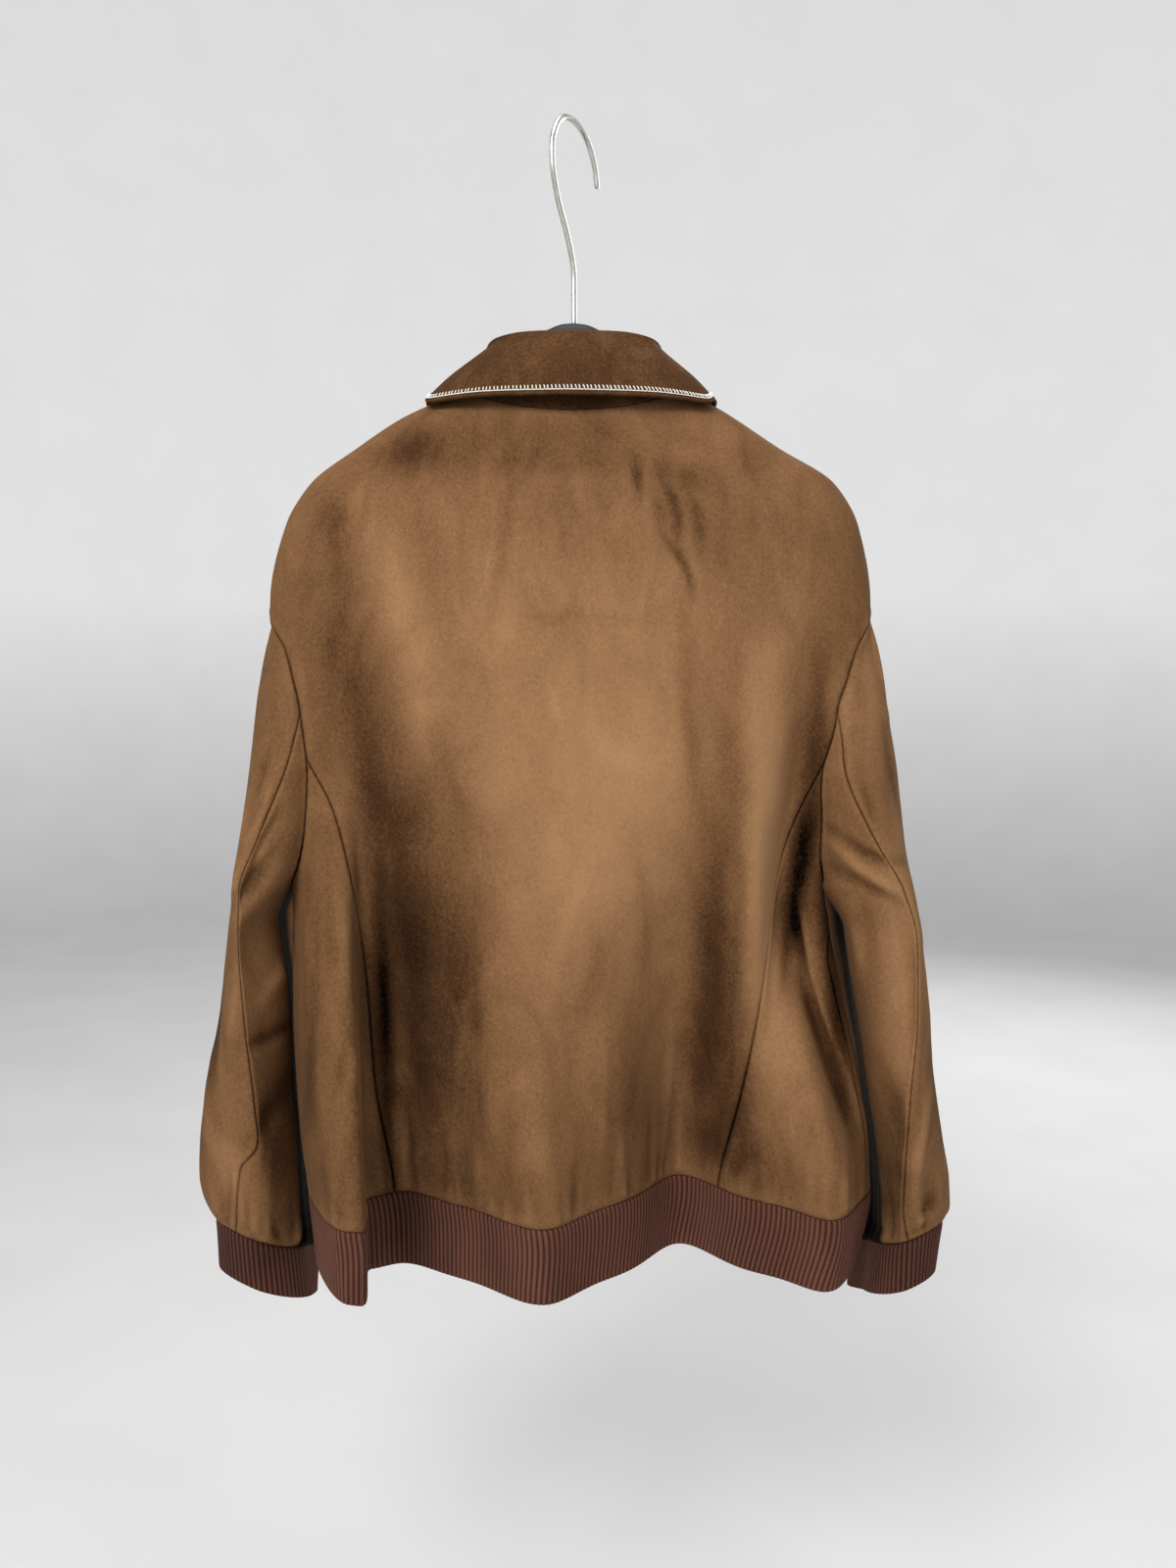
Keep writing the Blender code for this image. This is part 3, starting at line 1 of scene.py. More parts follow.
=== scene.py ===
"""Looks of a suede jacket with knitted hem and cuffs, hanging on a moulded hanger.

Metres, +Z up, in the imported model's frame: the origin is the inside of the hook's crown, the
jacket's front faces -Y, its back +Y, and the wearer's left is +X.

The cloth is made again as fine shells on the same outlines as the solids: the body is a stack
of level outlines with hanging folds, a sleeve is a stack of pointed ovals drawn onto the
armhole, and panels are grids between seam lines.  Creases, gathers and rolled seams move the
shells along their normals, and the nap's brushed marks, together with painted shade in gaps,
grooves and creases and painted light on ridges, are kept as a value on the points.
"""

import math

import bpy
import numpy as np
from mathutils.kdtree import KDTree
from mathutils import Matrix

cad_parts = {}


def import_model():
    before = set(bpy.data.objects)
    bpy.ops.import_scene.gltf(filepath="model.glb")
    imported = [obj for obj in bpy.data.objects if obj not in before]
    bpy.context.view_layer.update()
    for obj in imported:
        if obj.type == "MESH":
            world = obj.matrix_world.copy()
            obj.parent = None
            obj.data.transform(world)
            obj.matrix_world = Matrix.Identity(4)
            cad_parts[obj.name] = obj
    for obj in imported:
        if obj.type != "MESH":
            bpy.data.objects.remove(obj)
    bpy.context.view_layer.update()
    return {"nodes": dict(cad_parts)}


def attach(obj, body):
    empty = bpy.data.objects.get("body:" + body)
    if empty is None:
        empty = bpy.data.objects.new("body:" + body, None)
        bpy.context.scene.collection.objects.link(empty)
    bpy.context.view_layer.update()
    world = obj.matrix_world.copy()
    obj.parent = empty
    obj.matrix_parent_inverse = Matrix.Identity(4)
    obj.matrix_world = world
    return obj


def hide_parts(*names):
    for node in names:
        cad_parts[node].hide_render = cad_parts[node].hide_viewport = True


MM = 0.001

# the wearer's left and right
SIDES = (1, -1)

# thickness of the cloth, of the collar's leaf and of the ribbing, and height of a rib
WALL = 0.0018
LEAF_WALL = 0.0026
RIB_WALL = 0.0024
RIB_RISE = 0.0009

# how far the neck seam dips below the shoulders, then heights: armhole, the notches where
# seams meet it, and seam and edge of each ribbed band
NECK_DIP_BACK = 0.029
NECK_DIP_FRONT = 0.082
ARM_TOP = -0.369
ARM_BOTTOM = -0.587
SLEEVE_NOTCH_BACK = -0.456
SLEEVE_NOTCH_FRONT = -0.535
SIDE_NOTCH_BACK = -0.490
SIDE_NOTCH_FRONT = -0.575
HEM_SEAM = -0.829
HEM_EDGE = -0.886
CUFF_SEAM = -0.862
CUFF_EDGE = -0.902

# half the gap between the fronts, and angle of the shoulder seam ahead of the body's extreme
OPENING_HALF = 0.0038
SHOULDER_AHEAD = 0.17

# how sharply a sleeve turns at its back crease and at its front one
BACK_TURN = 3.0
FRONT_TURN = 1.6

# ribs round the hem and round a cuff, and height of one knitted stitch
HEM_RIBS = 300
CUFF_RIBS = 62
STITCH_HEIGHT = 0.0021

# tilt of a sleeve's end: fall toward the body, rise toward the back, fall of all of it, and
# height where the tilt starts
CUFF_TILT = 0.36
CUFF_TURN = 0.30
CUFF_DROP = 0.009
CUFF_TILT_TOP = -0.760

# painted light and shade: change of the nap value for each metre that the cloth is raised,
# lighter on ridges and darker in troughs and grooves, and the limits of that change
PAINTED_RELIEF_LIGHT = 70.0
PAINTED_RELIEF_LIMITS = (-0.22, 0.16)

# rolled seams: depth and width of the groove, height, place and width of the swelling beside
# it, its pucker (height, length, reach), and the distance that creases keep from it
GROOVE = 0.0007
GROOVE_WIDTH = 0.0010
SEAM_WIDTH = 0.0011
SWELL = 0.0005
SWELL_AT = 0.0055
SWELL_WIDTH = 0.004
PUCKER = 0.0002
PUCKER_LENGTH = 0.0093
PUCKER_REACH = 0.007
CREASE_CLEAR = 0.010
FACE_BLEND = 0.35

# painted shade in the deep gap between a sleeve and the body: its top, and its reach toward back and front
SHADE_GAP_TOP = -0.56
SHADE_GAP_BACK = 0.030
SHADE_GAP_FRONT = -0.040

# heights of rows down the shoulder and the armhole, and how far each row fans down there
SHOULDER_ROWS = [-0.203, -0.219, -0.236, -0.257, -0.280, -0.318, ARM_TOP]
BACK_ARM_ROWS = [ARM_TOP, -0.3701, -0.3733, -0.3786, -0.386, -0.406, -0.430,
                 SLEEVE_NOTCH_BACK, SIDE_NOTCH_BACK]
FRONT_ARM_ROWS = [ARM_TOP, -0.3701, -0.3733, -0.3786, -0.388, -0.415, -0.455,
                  SLEEVE_NOTCH_FRONT, SIDE_NOTCH_FRONT]
BODY_FAN = [-0.034, -0.020, -0.008, 0.002, 0.008, 0.006, 0.003, 0.0, 0.0]
SLEEVE_FAN = [0.0, 0.006, 0.012, 0.018, 0.022, 0.018, 0.012, 0.0]

# level outline of the body: height, left and right extremes, back and front depth,
# depth of the extremes, squareness
BODY = (
    (-0.195, 0.058, -0.056, 0.034, -0.034, -0.002, 2.0),
    (-0.203, 0.079, -0.076, 0.042, -0.042, -0.002, 2.0),
    (-0.216, 0.111, -0.107, 0.048, -0.050, -0.001, 2.0),
    (-0.229, 0.138, -0.129, 0.053, -0.055, 0.000, 2.0),
    (-0.251, 0.170, -0.161, 0.060, -0.062, 0.001, 2.1),
    (-0.278, 0.205, -0.203, 0.067, -0.068, 0.002, 2.2),
    (-0.311, 0.224, -0.221, 0.073, -0.073, 0.003, 2.35),
    (-0.366, 0.2355, -0.230, 0.079, -0.078, 0.004, 2.5),
    (-0.450, 0.237, -0.231, 0.082, -0.080, 0.005, 2.6),
    (-0.520, 0.231, -0.214, 0.082, -0.080, 0.006, 2.6),
    (-0.587, 0.2195, -0.195, 0.080, -0.076, 0.008, 2.6),
    (-0.620, 0.2195, -0.199, 0.078, -0.074, 0.009, 2.6),
    (-0.680, 0.2200, -0.211, 0.073, -0.070, 0.011, 2.6),
    (-0.740, 0.2180, -0.224, 0.067, -0.066, 0.014, 2.5),
    (-0.790, 0.2140, -0.231, 0.060, -0.062, 0.018, 2.4),
    (-0.829, 0.2085, -0.232, 0.052, -0.058, 0.020, 2.3),
    (-0.886, 0.2025, -0.220, 0.049, -0.056, 0.020, 2.3),
)

# hanging folds: face, x and height where it starts, x at the hem, height of its full depth,
# height where it has died away, width toward +X and toward -X, depth outward, sideways
# lean for each unit of depth, power of its shape (2 a round hill, 4 a flat-topped one)
FOLDS = (
    ("back", 0.177, -0.500, 0.176, -0.790, -1.300, 0.044, 0.012, 0.064, -0.34, 4),
    ("back", 0.186, -0.260, 0.132, -0.700, -1.300, 0.022, 0.030, -0.024, 0.0, 2),
    ("back", 0.052, -0.600, 0.022, -0.829, -1.400, 0.045, 0.034, 0.045, 0.0, 2),
    ("back", -0.070, -0.480, -0.085, -0.829, -1.400, 0.034, 0.036, -0.060, 0.0, 2),
    ("back", -0.128, -0.380, -0.140, -0.560, -0.760, 0.020, 0.014, 0.012, 0.0, 2),
    ("back", -0.180, -0.360, -0.137, -0.580, -0.740, 0.015, 0.022, -0.024, 0.0, 2),
    ("back", -0.152, -0.570, -0.222, -0.690, -0.840, 0.013, 0.012, -0.018, 0.0, 2),
    ("back", -0.182, -0.600, -0.195, -0.829, -1.400, 0.032, 0.030, 0.042, 0.0, 2),
    ("front", 0.150, -0.500, 0.160, -0.820, -1.300, 0.028, 0.030, 0.024, 0.0, 2),
    ("front", 0.100, -0.360, 0.105, -0.760, -1.300, 0.026, 0.028, -0.015, 0.0, 2),
    ("front", 0.050, -0.560, 0.052, -0.829, -1.400, 0.026, 0.028, 0.014, 0.0, 2),
    ("front", -0.062, -0.520, -0.066, -0.829, -1.400, 0.028, 0.028, 0.018, 0.0, 2),
    ("front", -0.120, -0.340, -0.118, -0.760, -1.300, 0.026, 0.026, -0.014, 0.0, 2),
    ("front", -0.168, -0.560, -0.172, -0.829, -1.400, 0.028, 0.026, 0.020, 0.0, 2),
)

# armhole seen from the back: height, how far in from the body's extreme on the left and
# the right, on the back face and on the front face
ARMHOLE = (
    (-0.369, 0.0000, 0.0000, 0.0000),
    (-0.386, 0.0105, 0.0095, 0.0120),
    (-0.406, 0.0200, 0.0180, 0.0240),
    (-0.430, 0.0280, 0.0265, 0.0350),
    (-0.456, 0.0340, 0.0345, 0.0420),
    (-0.490, 0.0360, 0.0345, 0.0450),
    (-0.515, 0.0330, 0.0290, 0.0420),
    (-0.540, 0.0260, 0.0195, 0.0340),
    (-0.563, 0.0150, 0.0110, 0.0210),
    (-0.580, 0.0045, 0.0035, 0.0070),
    (-0.587, 0.0000, 0.0000, 0.0000),
)

# side-back seam and side-front seam: height, x on the back face for left and right, then
# angle of the front one for left and right (degrees from the extreme)
SIDE_SEAMS = (
    (-0.490, 0.2000, -0.1865, -40.0, -40.0),
    (-0.530, 0.1790, -0.1700, -24.0, -24.0),
    (-0.575, 0.1690, -0.1560, -8.0, -8.0),
    (-0.650, 0.1580, -0.1430, 6.0, 20.0),
    (-0.740, 0.1520, -0.1270, 9.0, 17.0),
    (-0.829, 0.1400, -0.1130, 8.0, 12.0),
    (-0.886, 0.1390, -0.1110, 8.0, 12.0),
)

# sleeves: height, outer and inner extreme, back and front extreme, x of the back crease
# and of the front one
SLEEVE_L = (
    (-0.369, 0.2358, 0.200, 0.036, -0.036, 0.2220, 0.2200),
    (-0.386, 0.2385, 0.202, 0.044, -0.044, 0.2200, 0.2180),
    (-0.406, 0.2425, 0.202, 0.049, -0.050, 0.2170, 0.2160),
    (-0.450, 0.2475, 0.194, 0.059, -0.062, 0.2120, 0.2120),
    (-0.500, 0.2525, 0.192, 0.069, -0.075, 0.2200, 0.2200),
    (-0.550, 0.2575, 0.201, 0.077, -0.085, 0.2340, 0.2360),
    (-0.587, 0.2610, 0.2225, 0.081, -0.090, 0.2430, 0.2400),
    (-0.620, 0.2655, 0.2400, 0.083, -0.090, 0.2430, 0.2330),
    (-0.680, 0.2760, 0.2320, 0.082, -0.088, 0.2400, 0.2400),
    (-0.740, 0.2880, 0.2275, 0.078, -0.083, 0.2350, 0.2450),
    (-0.790, 0.2960, 0.2230, 0.071, -0.077, 0.2330, 0.2420),
    (-0.830, 0.2980, 0.2190, 0.063, -0.069, 0.2350, 0.2340),
    (-0.850, 0.2950, 0.2160, 0.056, -0.062, 0.2380, 0.2280),
    (-0.862, 0.2870, 0.2150, 0.048, -0.054, 0.2440, 0.2260),
    (-0.902, 0.2850, 0.2110, 0.044, -0.050, 0.2420, 0.2380),
)
SLEEVE_R = (
    (-0.369, 0.2303, 0.194, 0.036, -0.036, 0.2160, 0.2140),
    (-0.386, 0.2335, 0.195, 0.043, -0.044, 0.2140, 0.2120),
    (-0.406, 0.2375, 0.194, 0.048, -0.050, 0.2110, 0.2090),
    (-0.450, 0.2440, 0.185, 0.059, -0.062, 0.2040, 0.2040),
    (-0.500, 0.2510, 0.178, 0.067, -0.075, 0.2080, 0.2080),
    (-0.550, 0.2560, 0.178, 0.075, -0.085, 0.2240, 0.2180),
    (-0.587, 0.2600, 0.1980, 0.080, -0.090, 0.2420, 0.2180),
    (-0.620, 0.2620, 0.2200, 0.083, -0.090, 0.2500, 0.2060),
    (-0.680, 0.2720, 0.2270, 0.082, -0.088, 0.2515, 0.2240),
    (-0.740, 0.2820, 0.2340, 0.078, -0.083, 0.2480, 0.2480),
    (-0.790, 0.2910, 0.2400, 0.071, -0.077, 0.2470, 0.2560),
    (-0.830, 0.2970, 0.2430, 0.063, -0.069, 0.2480, 0.2490),
    (-0.850, 0.2975, 0.2430, 0.056, -0.062, 0.2520, 0.2430),
    (-0.862, 0.2950, 0.2380, 0.048, -0.054, 0.2560, 0.2360),
    (-0.902, 0.2890, 0.2340, 0.044, -0.050, 0.2560, 0.2360),
)

# where the armhole meets a sleeve's oval: height, degrees round the oval on the back, front
ARM_ANGLE = (
    (-0.369, -20.0, 20.0),
    (-0.386, 34.0, 59.0),
    (-0.406, 68.0, 80.0),
    (-0.430, 97.0, 99.0),
    (-0.456, 110.0, 114.0),
    (-0.490, 122.0, 127.0),
    (-0.515, 129.0, 133.0),
    (-0.540, 137.0, 140.0),
    (-0.563, 149.0, 150.0),
    (-0.580, 165.0, 165.0),
    (-0.587, 180.0, 180.0),
)

# sleeve seams: height, degrees round the oval of the back seam on the left and on the right,
# and of the front seam
SLEEVE_SEAMS = (
    (-0.456, 110.0, 110.0, 124.0),
    (-0.480, 101.0, 101.0, 128.0),
    (-0.535, 94.0, 94.0, 139.0),
    (-0.620, 93.0, 93.0, 142.0),
    (-0.765, 94.0, 93.0, 141.0),
    (-0.800, 68.0, 93.0, 140.0),
    (-0.862, 63.0, 94.0, 140.0),
)

# collar, from the centre back to the centre front: share of the way, fold line x, y, z,
# leaf edge as an angle round the body's outline, height and distance off the body
COLLAR = (
    (0.00, 0.000, 0.037, -0.1750, 90.0, -0.2300, 0.0160),
    (0.20, 0.035, 0.031, -0.1742, 65.0, -0.2292, 0.0135),
    (0.38, 0.058, 0.011, -0.1735, 38.0, -0.2268, 0.0075),
    (0.50, 0.063, -0.010, -0.1770, 5.0, -0.2160, 0.0045),
    (0.62, 0.060, -0.030, -0.1880, -42.0, -0.2300, 0.0060),
    (0.80, 0.039, -0.057, -0.2200, -64.0, -0.2700, 0.0070),
    (1.00, 0.013, -0.071, -0.2520, -76.0, -0.3120, 0.0070),
)

# how far a sleeve's underside swells toward the body: height, left, right
BELLY = (
    (-0.560, 0.000, 0.000),
    (-0.600, 0.008, 0.015),
    (-0.630, 0.015, 0.015),
    (-0.680, 0.013, 0.011),
    (-0.740, 0.010, 0.008),
    (-0.800, 0.008, 0.005),
    (-0.845, 0.005, 0.003),
    (-0.862, 0.000, 0.000),
)

# where round the oval it swells, and how far round
BELLY_AT = math.radians(155.0)
BELLY_WIDE = math.radians(28.0)

# hanger, from the middle to a tip: x, height of its top, half height, half depth
HANGER = (
    (0.000, -0.1525, 0.0110, 0.0130),
    (0.008, -0.1532, 0.0110, 0.0130),
    (0.022, -0.1585, 0.0095, 0.0120),
    (0.040, -0.1700, 0.0080, 0.0110),
    (0.060, -0.1890, 0.0068, 0.0105),
    (0.082, -0.2115, 0.0060, 0.0100),
    (0.110, -0.2225, 0.0060, 0.0100),
    (0.133, -0.2345, 0.0060, 0.0100),
    (0.165, -0.2565, 0.0060, 0.0100),
    (0.190, -0.2745, 0.0056, 0.0095),
    (0.201, -0.2835, 0.0048, 0.0085),
    (0.205, -0.2890, 0.0030, 0.0060),
)

# slope of the whole hanger, length of its rounded tips, points round it, its moulding line
HANGER_TILT = 0.016
HANGER_TIP = 0.004
HANGER_SIDES = 40
MOULD_LINE = 0.012

# hook wire in its own upright plane: distance from the shank, height
HOOK = (
    (0.000, -0.1521), (0.000, -0.130), (0.001, -0.110), (0.010, -0.088), (0.024, -0.064),
    (0.0305, -0.044), (0.0300, -0.022), (0.018, -0.0035), (0.000, 0.0022), (-0.019, -0.0040),
    (-0.031, -0.019), (-0.0355, -0.036),
)
HOOK_TURN = math.radians(59.0)
WIRE_RADIUS = 0.0022
WIRE_SIDES = 24

# brushed marks of the nap, and on the back and the sleeves also painted shade and light on
# folds, grooves and edges, in millimetres: from x, z to x, z, sideways bow, half width; last,
# how much lighter (+) or darker
NAP_AND_SHADE_BACK = (
    (160, -310, 98, -450, 0, 26, 0.26),
    (60, -323, 61, -436, 0, 28.8, 0.22),
    (18, -379, 14, -638, 0, 51.8, 0.28),
    (-39, -422, -47, -623, 0, 36, 0.3),
    (-70, -360, -72, -560, 0, 30, 0.1),
    (-141, -429, -147, -696, -3, 16, 0.58),
    (-139, -530, -141, -640, 0, 13, 0.14),
    (18, -652, 22, -818, 0, 44.6, 0.06),
    (150, -268, 90, -262, -4, 20, -0.26),
    (-160, -681, -173, -818, 0, 18.7, 0.12),
    (-25, -337, -25, -393, 0, 43.2, 0.1),
    (172, -479, 169, -544, 0, 8.6, 0.12),
    (2, -236, 4, -290, 0, 72, -0.22),
    (171, -365, 127, -565, 7, 30, -0.2),
    (128, -551, 119, -800, 0, 33, -0.45),
    (104, -472, 84, -583, 0, 18.7, -0.04),
    (-102, -540, -101, -784, -3, 16.5, -0.36),
    (-181, -430, -166, -609, -6, 13, -0.4),
    (-46, -272, -48, -300, 0, 3.9, -0.32),
    (-65, -286, -75, -334, -5, 4.9, -0.34),
    (-82, -294, -91, -338, -4, 5.8, -0.3),
    (-69, -334, -86, -371, -4, 3.4, -0.36),
    (-58, -294, -63, -323, -2, 3.9, -0.17),
    (186, -300, 170, -323, -4, 12.7, -0.17),
    (-40, -700, -37, -795, 0, 18.7, -0.1),
    (-75, -280, -100, -294, -2, 8.8, -0.17),
    (32, -386, -62, -390, -1, 3, -0.05),
    (83, -711, 78, -810, 0, 11.5, -0.2),
    (-18, -609, -8, -674, -4, 8.6, -0.16),
    (-82, -393, -87, -508, 0, 7.2, -0.14),
    (46, -273, 60, -393, -3, 5.8, -0.12),
    (-127, -696, -124, -799, 0, 12, -0.26),
    (-176, -545, -158, -660, 0, 9, -0.4),
    (83, -610, 80, -712, 0, 16, -0.22),
    (-125, -245, -140, -285, 0, 20, -0.1),
    (-90, -780, -145, -805, 0, 20, -0.15),
    (165, -335, 150, -380, 0, 16, -0.14),
    (-14, -670, -14, -740, 0, 11, 0.11),
    (132, -715, 134, -745, 0, 12, 0.16),
    (-162, -320, -164, -400, 0, 14, 0.12),
    (-114, -450, -114, -530, 0, 11, -0.12),
    (-40, -540, -42, -580, 0, 16, -0.1),
    (106, -440, 108, -465, 0, 12, 0.14),
    (-66, -680, -64, -780, 0, 12, 0.12),
    (110, -430, 128, -530, 0, 15, 0.13),
    (134, -630, 134, -760, 0, 13, 0.14),
    (85, -720, 84, -790, 0, 12, 0.11),
    (-90, -330, -92, -400, 0, 14, 0.08),
    (146, -580, 143, -826, 0, 7.5, -0.38),
    (190, -590, 192, -800, 0, 12, -0.2),
    (-194, -585, -204, -740, 0, 9.5, -0.5),
    (-172, -660, -190, -720, 0, 4, -0.36),
    (-190, -720, -211, -775, 0, 4, -0.3),
)
NAP_FRONT = (
    (90, -330, 75, -560, 6, 38, 0.34),
    (-85, -320, -92, -520, -4, 42, 0.36),
    (140, -560, 135, -780, 4, 30, 0.26),
    (-60, -600, -66, -810, 0, 30, 0.28),
    (30, -420, 34, -760, 0, 16, -0.24),
    (-120, -480, -118, -760, 0, 24, -0.4),
    (105, -520, 104, -790, 0, 20, -0.36),
    (165, -420, 150, -560, 6, 18, -0.38),
    (-160, -400, -150, -570, -6, 16, -0.4),
    (60, -330, 52, -372, 4, 6, -0.16),
    (-48, -360, -60, -400, 4, 5.6, -0.14),
)
NAP_AND_SHADE_SLEEVES = (
    (278, -600, 286, -780, 0, 12, -0.3),
    (250, -500, 248, -640, 0, 11, 0.1),
    (232, -620, 226, -680, 0, 9, 0.14),
    (226, -700, 222, -830, 0, 12, -0.2),
    (232, -550, 218, -572, 0, 10, 0.16),
    (260, -760, 256, -840, 0, 15, 0.24),
    (-226, -400, -224, -480, 0, 11, 0.2),
    (-237, -570, -244, -700, 0, 14, 0.32),
    (-213, -690, -222, -790, 0, 9, -0.2),
    (-272, -650, -282, -780, 0, 10, -0.28),
    (-268, -820, -276, -850, 0, 7, -0.3),
    (-238, -780, -238, -850, 0, 9, -0.2),
)

# creases, in millimetres: from x, z to x, z, sideways bow, half width, height out of the cloth
CREASE_BACK = (
    (21, -429, 5, -479, -2, 2.9, 0.9),
    (32, -388, -62, -390, -1, 2.6, -0.2),
    (-62, -309, -86, -371, -6, 3.6, -0.6),
    (71, -616, 71, -829, -2, 3.6, -1.1),
    (-23, -689, -20, -792, -2, 3.6, 1),
    (-14, -565, 14, -659, 4, 6.5, 1.2),
    (83, -659, 89, -769, -3, 5, 1.2),
    (-47, -551, -57, -659, -4, 5.8, -1.1),
    (47, -718, 53, -826, -3, 5, -1),
    (18, -740, 14, -829, 3, 5.8, 1),
    (104, -468, 75, -551, -4, 5, -1),
    (181, -323, 166, -429, -4, 6.5, -1.2),
    (-75, -436, -94, -544, -4, 5.8, -1),
    (-120, -580, -118, -689, -2, 4.3, -1),
    (-125, -718, -119, -810, -2, 3.6, 1.2),
    (-76, -696, -72, -799, -1, 3.6, 1.2),
    (70, -762, 71, -832, 0, 3.6, 2),
    (150, -762, 149, -832, 0, 2.9, 1.8),
    (132, -769, 132, -832, 0, 2.9, 1.8),
    (-36, -769, -37, -832, 0, 2.9, 1.8),
    (-85, -762, -85, -832, 0, 2.9, 1.8),
    (-119, -773, -119, -832, 0, 2.9, 1.8),
    (-200, -792, -202, -832, 0, 3.6, 2.2),
    (-175, -788, -173, -832, 0, 2.9, 1.4),
    (33, -792, 32, -835, 0, 2.9, 1.2),
    (-2, -788, -4, -832, 0, 2.9, -1.4),
    (98, -773, 97, -832, 0, 2.9, -1.4),
    (-60, -762, -60, -832, 0, 2.5, -1.4),
    (-138, -777, -141, -832, 0, 2.9, -1.4),
    (-169, -601, -156, -674, -2, 4.3, -1.4),
    (180, -578, 175, -649, 0, 4.2, -1.2),
    (168, -602, 166, -662, -1, 3.5, 1.2),
    (157, -620, 157, -657, 0, 2.5, -1.4),
    (161, -689, 171, -728, 0, 3.5, -1.6),
    (155, -708, 165, -741, 0, 2.8, 1.4),
    (182, -757, 177, -822, -2, 4.9, -1.4),
    (165, -777, 167, -831, 0, 3.5, -1.2),
    (199, -603, 195, -662, -2, 4.4, 1.2),
    (185, -672, 183, -730, -1, 4.3, 1),
    (146, -755, 148, -809, 0, 3.6, -2.6),
    (139, -762, 138, -809, 0, 2.9, 2.2),
    (127, -775, 127, -809, 0, 2.9, -1.8),
    (-190, -623, -209, -694, -2, 2.9, 1.4),
    (-194, -656, -216, -739, -1, 2.9, -1.4),
    (-168, -603, -176, -654, 0, 3.6, -3.4),
    (-176, -654, -196, -717, 1, 3.6, -3.4),
    (-196, -717, -220, -773, 0, 3.6, -3),
    (-173, -603, -181, -654, 0, 2.9, 2.2),
    (-181, -654, -202, -717, 1, 2.9, 2.4),
    (-202, -717, -224, -773, 0, 2.9, 2.2),
    (-159, -581, -155, -625, 0, 4.4, -2),
)
CREASE_FRONT = (
    (165, -330, 120, -420, 8, 7, 1.4),
    (-160, -320, -118, -430, -8, 7, 1.4),
    (55, -470, 78, -590, -6, 7, -1.4),
    (-48, -480, -75, -600, 6, 8, 1.4),
    (28, -640, 30, -829, 0, 6, -1.3),
    (-30, -690, -28, -829, 0, 5.5, 1.3),
    (86, -700, 82, -832, 2, 5, 1.4),
    (-100, -740, -98, -832, 0, 4.5, -1.4),
    (130, -770, 131, -832, 0, 3.5, 1.8),
    (52, -775, 52, -832, 0, 3.5, 1.6),
    (-56, -770, -56, -832, 0, 3.5, 1.6),
    (-132, -775, -133, -832, 0, 3.5, 1.8),
    (-168, -780, -168, -832, 0, 3.5, -1.6),
    (165, -785, 165, -832, 0, 3.5, -1.6),
)
CREASE_SLEEVES_BACK = (
    (221, -561, 248, -596, 0, 4.5, -3.5),
    (217, -573, 241, -603, 0, 4.5, 2.9),
    (222, -514, 236, -547, -5, 3.7, 3.2),
    (217, -533, 232, -570, 4, 3.7, -3.2),
    (226, -488, 239, -524, 0, 3.7, -2.2),
    (214, -691, 239, -697, -3, 5.3, -2.9),
    (245, -661, 254, -707, 0, 5.3, 2.2),
    (216, -630, 229, -668, -2, 4.5, 2.6),
    (220, -737, 242, -776, -3, 6, -2.9),
    (259, -805, 265, -858, -2, 3.7, -3.2),
    (276, -824, 273, -859, 0, 3.7, 2.9),
    (255, -831, 255, -869, 0, 3, -2.9),
    (239, -836, 241, -875, 0, 3.7, 2.9),
    (226, -839, 227, -876, 0, 3, -2.9),
    (212, -844, 214, -876, 0, 3, 2.2),
    (281, -726, 277, -799, 0, 6.7, 1.9),
    (267, -668, 276, -730, 0, 6, -1.6),
    (244, -570, 248, -588, -2, 3.7, 2.2),
    (-196, -545, -241, -565, 5, 3.7, -3.8),
    (-198, -557, -237, -586, 3, 4.5, 3.5),
    (-199, -574, -231, -591, 0, 3.7, -3.2),
    (-212, -502, -221, -541, -2, 5.3, -2.2),
    (-236, -473, -247, -532, 0, 4.5, -1.9),
    (-224, -368, -239, -457, -2, 3, 1.9),
    (-239, -457, -256, -570, -2, 3, 1.9),
    (-241, -607, -249, -707, -3, 7.5, -2.2),
    (-256, -623, -269, -707, 0, 6, 1.9),
    (-231, -722, -244, -799, -3, 6, -2.6),
    (-264, -741, -256, -834, 3, 4.5, 3.8),
    (-249, -811, -260, -862, 5, 6, -4.5),
    (-258, -850, -278, -845, 0, 4.5, 3.8),
    (-239, -841, -238, -870, 0, 3, 2.6),
    (-267, -836, -269, -862, 0, 3, -2.9),
    (-279, -825, -280, -858, 0, 3, 2.6),
    (-209, -607, -217, -653, -2, 3.7, 2.2),
)
CREASE_SLEEVES_FRONT = (
    (232, -560, 262, -590, -3, 4, -1.8),
    (238, -590, 270, -624, -3, 4.6, 1.8),
    (244, -650, 278, -668, 4, 4.6, -1.8),
    (246, -690, 280, -720, 4, 5, 1.6),
    (250, -800, 247, -862, 0, 4, 1.8),
    (272, -805, 270, -862, 0, 4, -1.6),
    (-226, -560, -258, -592, 3, 4, -1.8),
    (-236, -596, -266, -630, 3, 4.6, 1.8),
    (-244, -652, -276, -672, -4, 4.6, -1.8),
    (-246, -700, -280, -728, -4, 5, 1.6),
    (-256, -800, -254, -862, 0, 4, 1.8),
    (-280, -805, -277, -862, 0, 4, -1.6),
)

# painted shade on the hem below the folds and on the cuffs, in the form of the brushed marks
SHADE_RIB = (
    (122, -760, 118, -920, 0, 24, -0.2),
    (-85, -760, -88, -920, 0, 20, -0.08),
    (262, -840, 262, -920, 0, 50, -0.22),
    (-262, -840, -262, -920, 0, 40, -0.18),
)

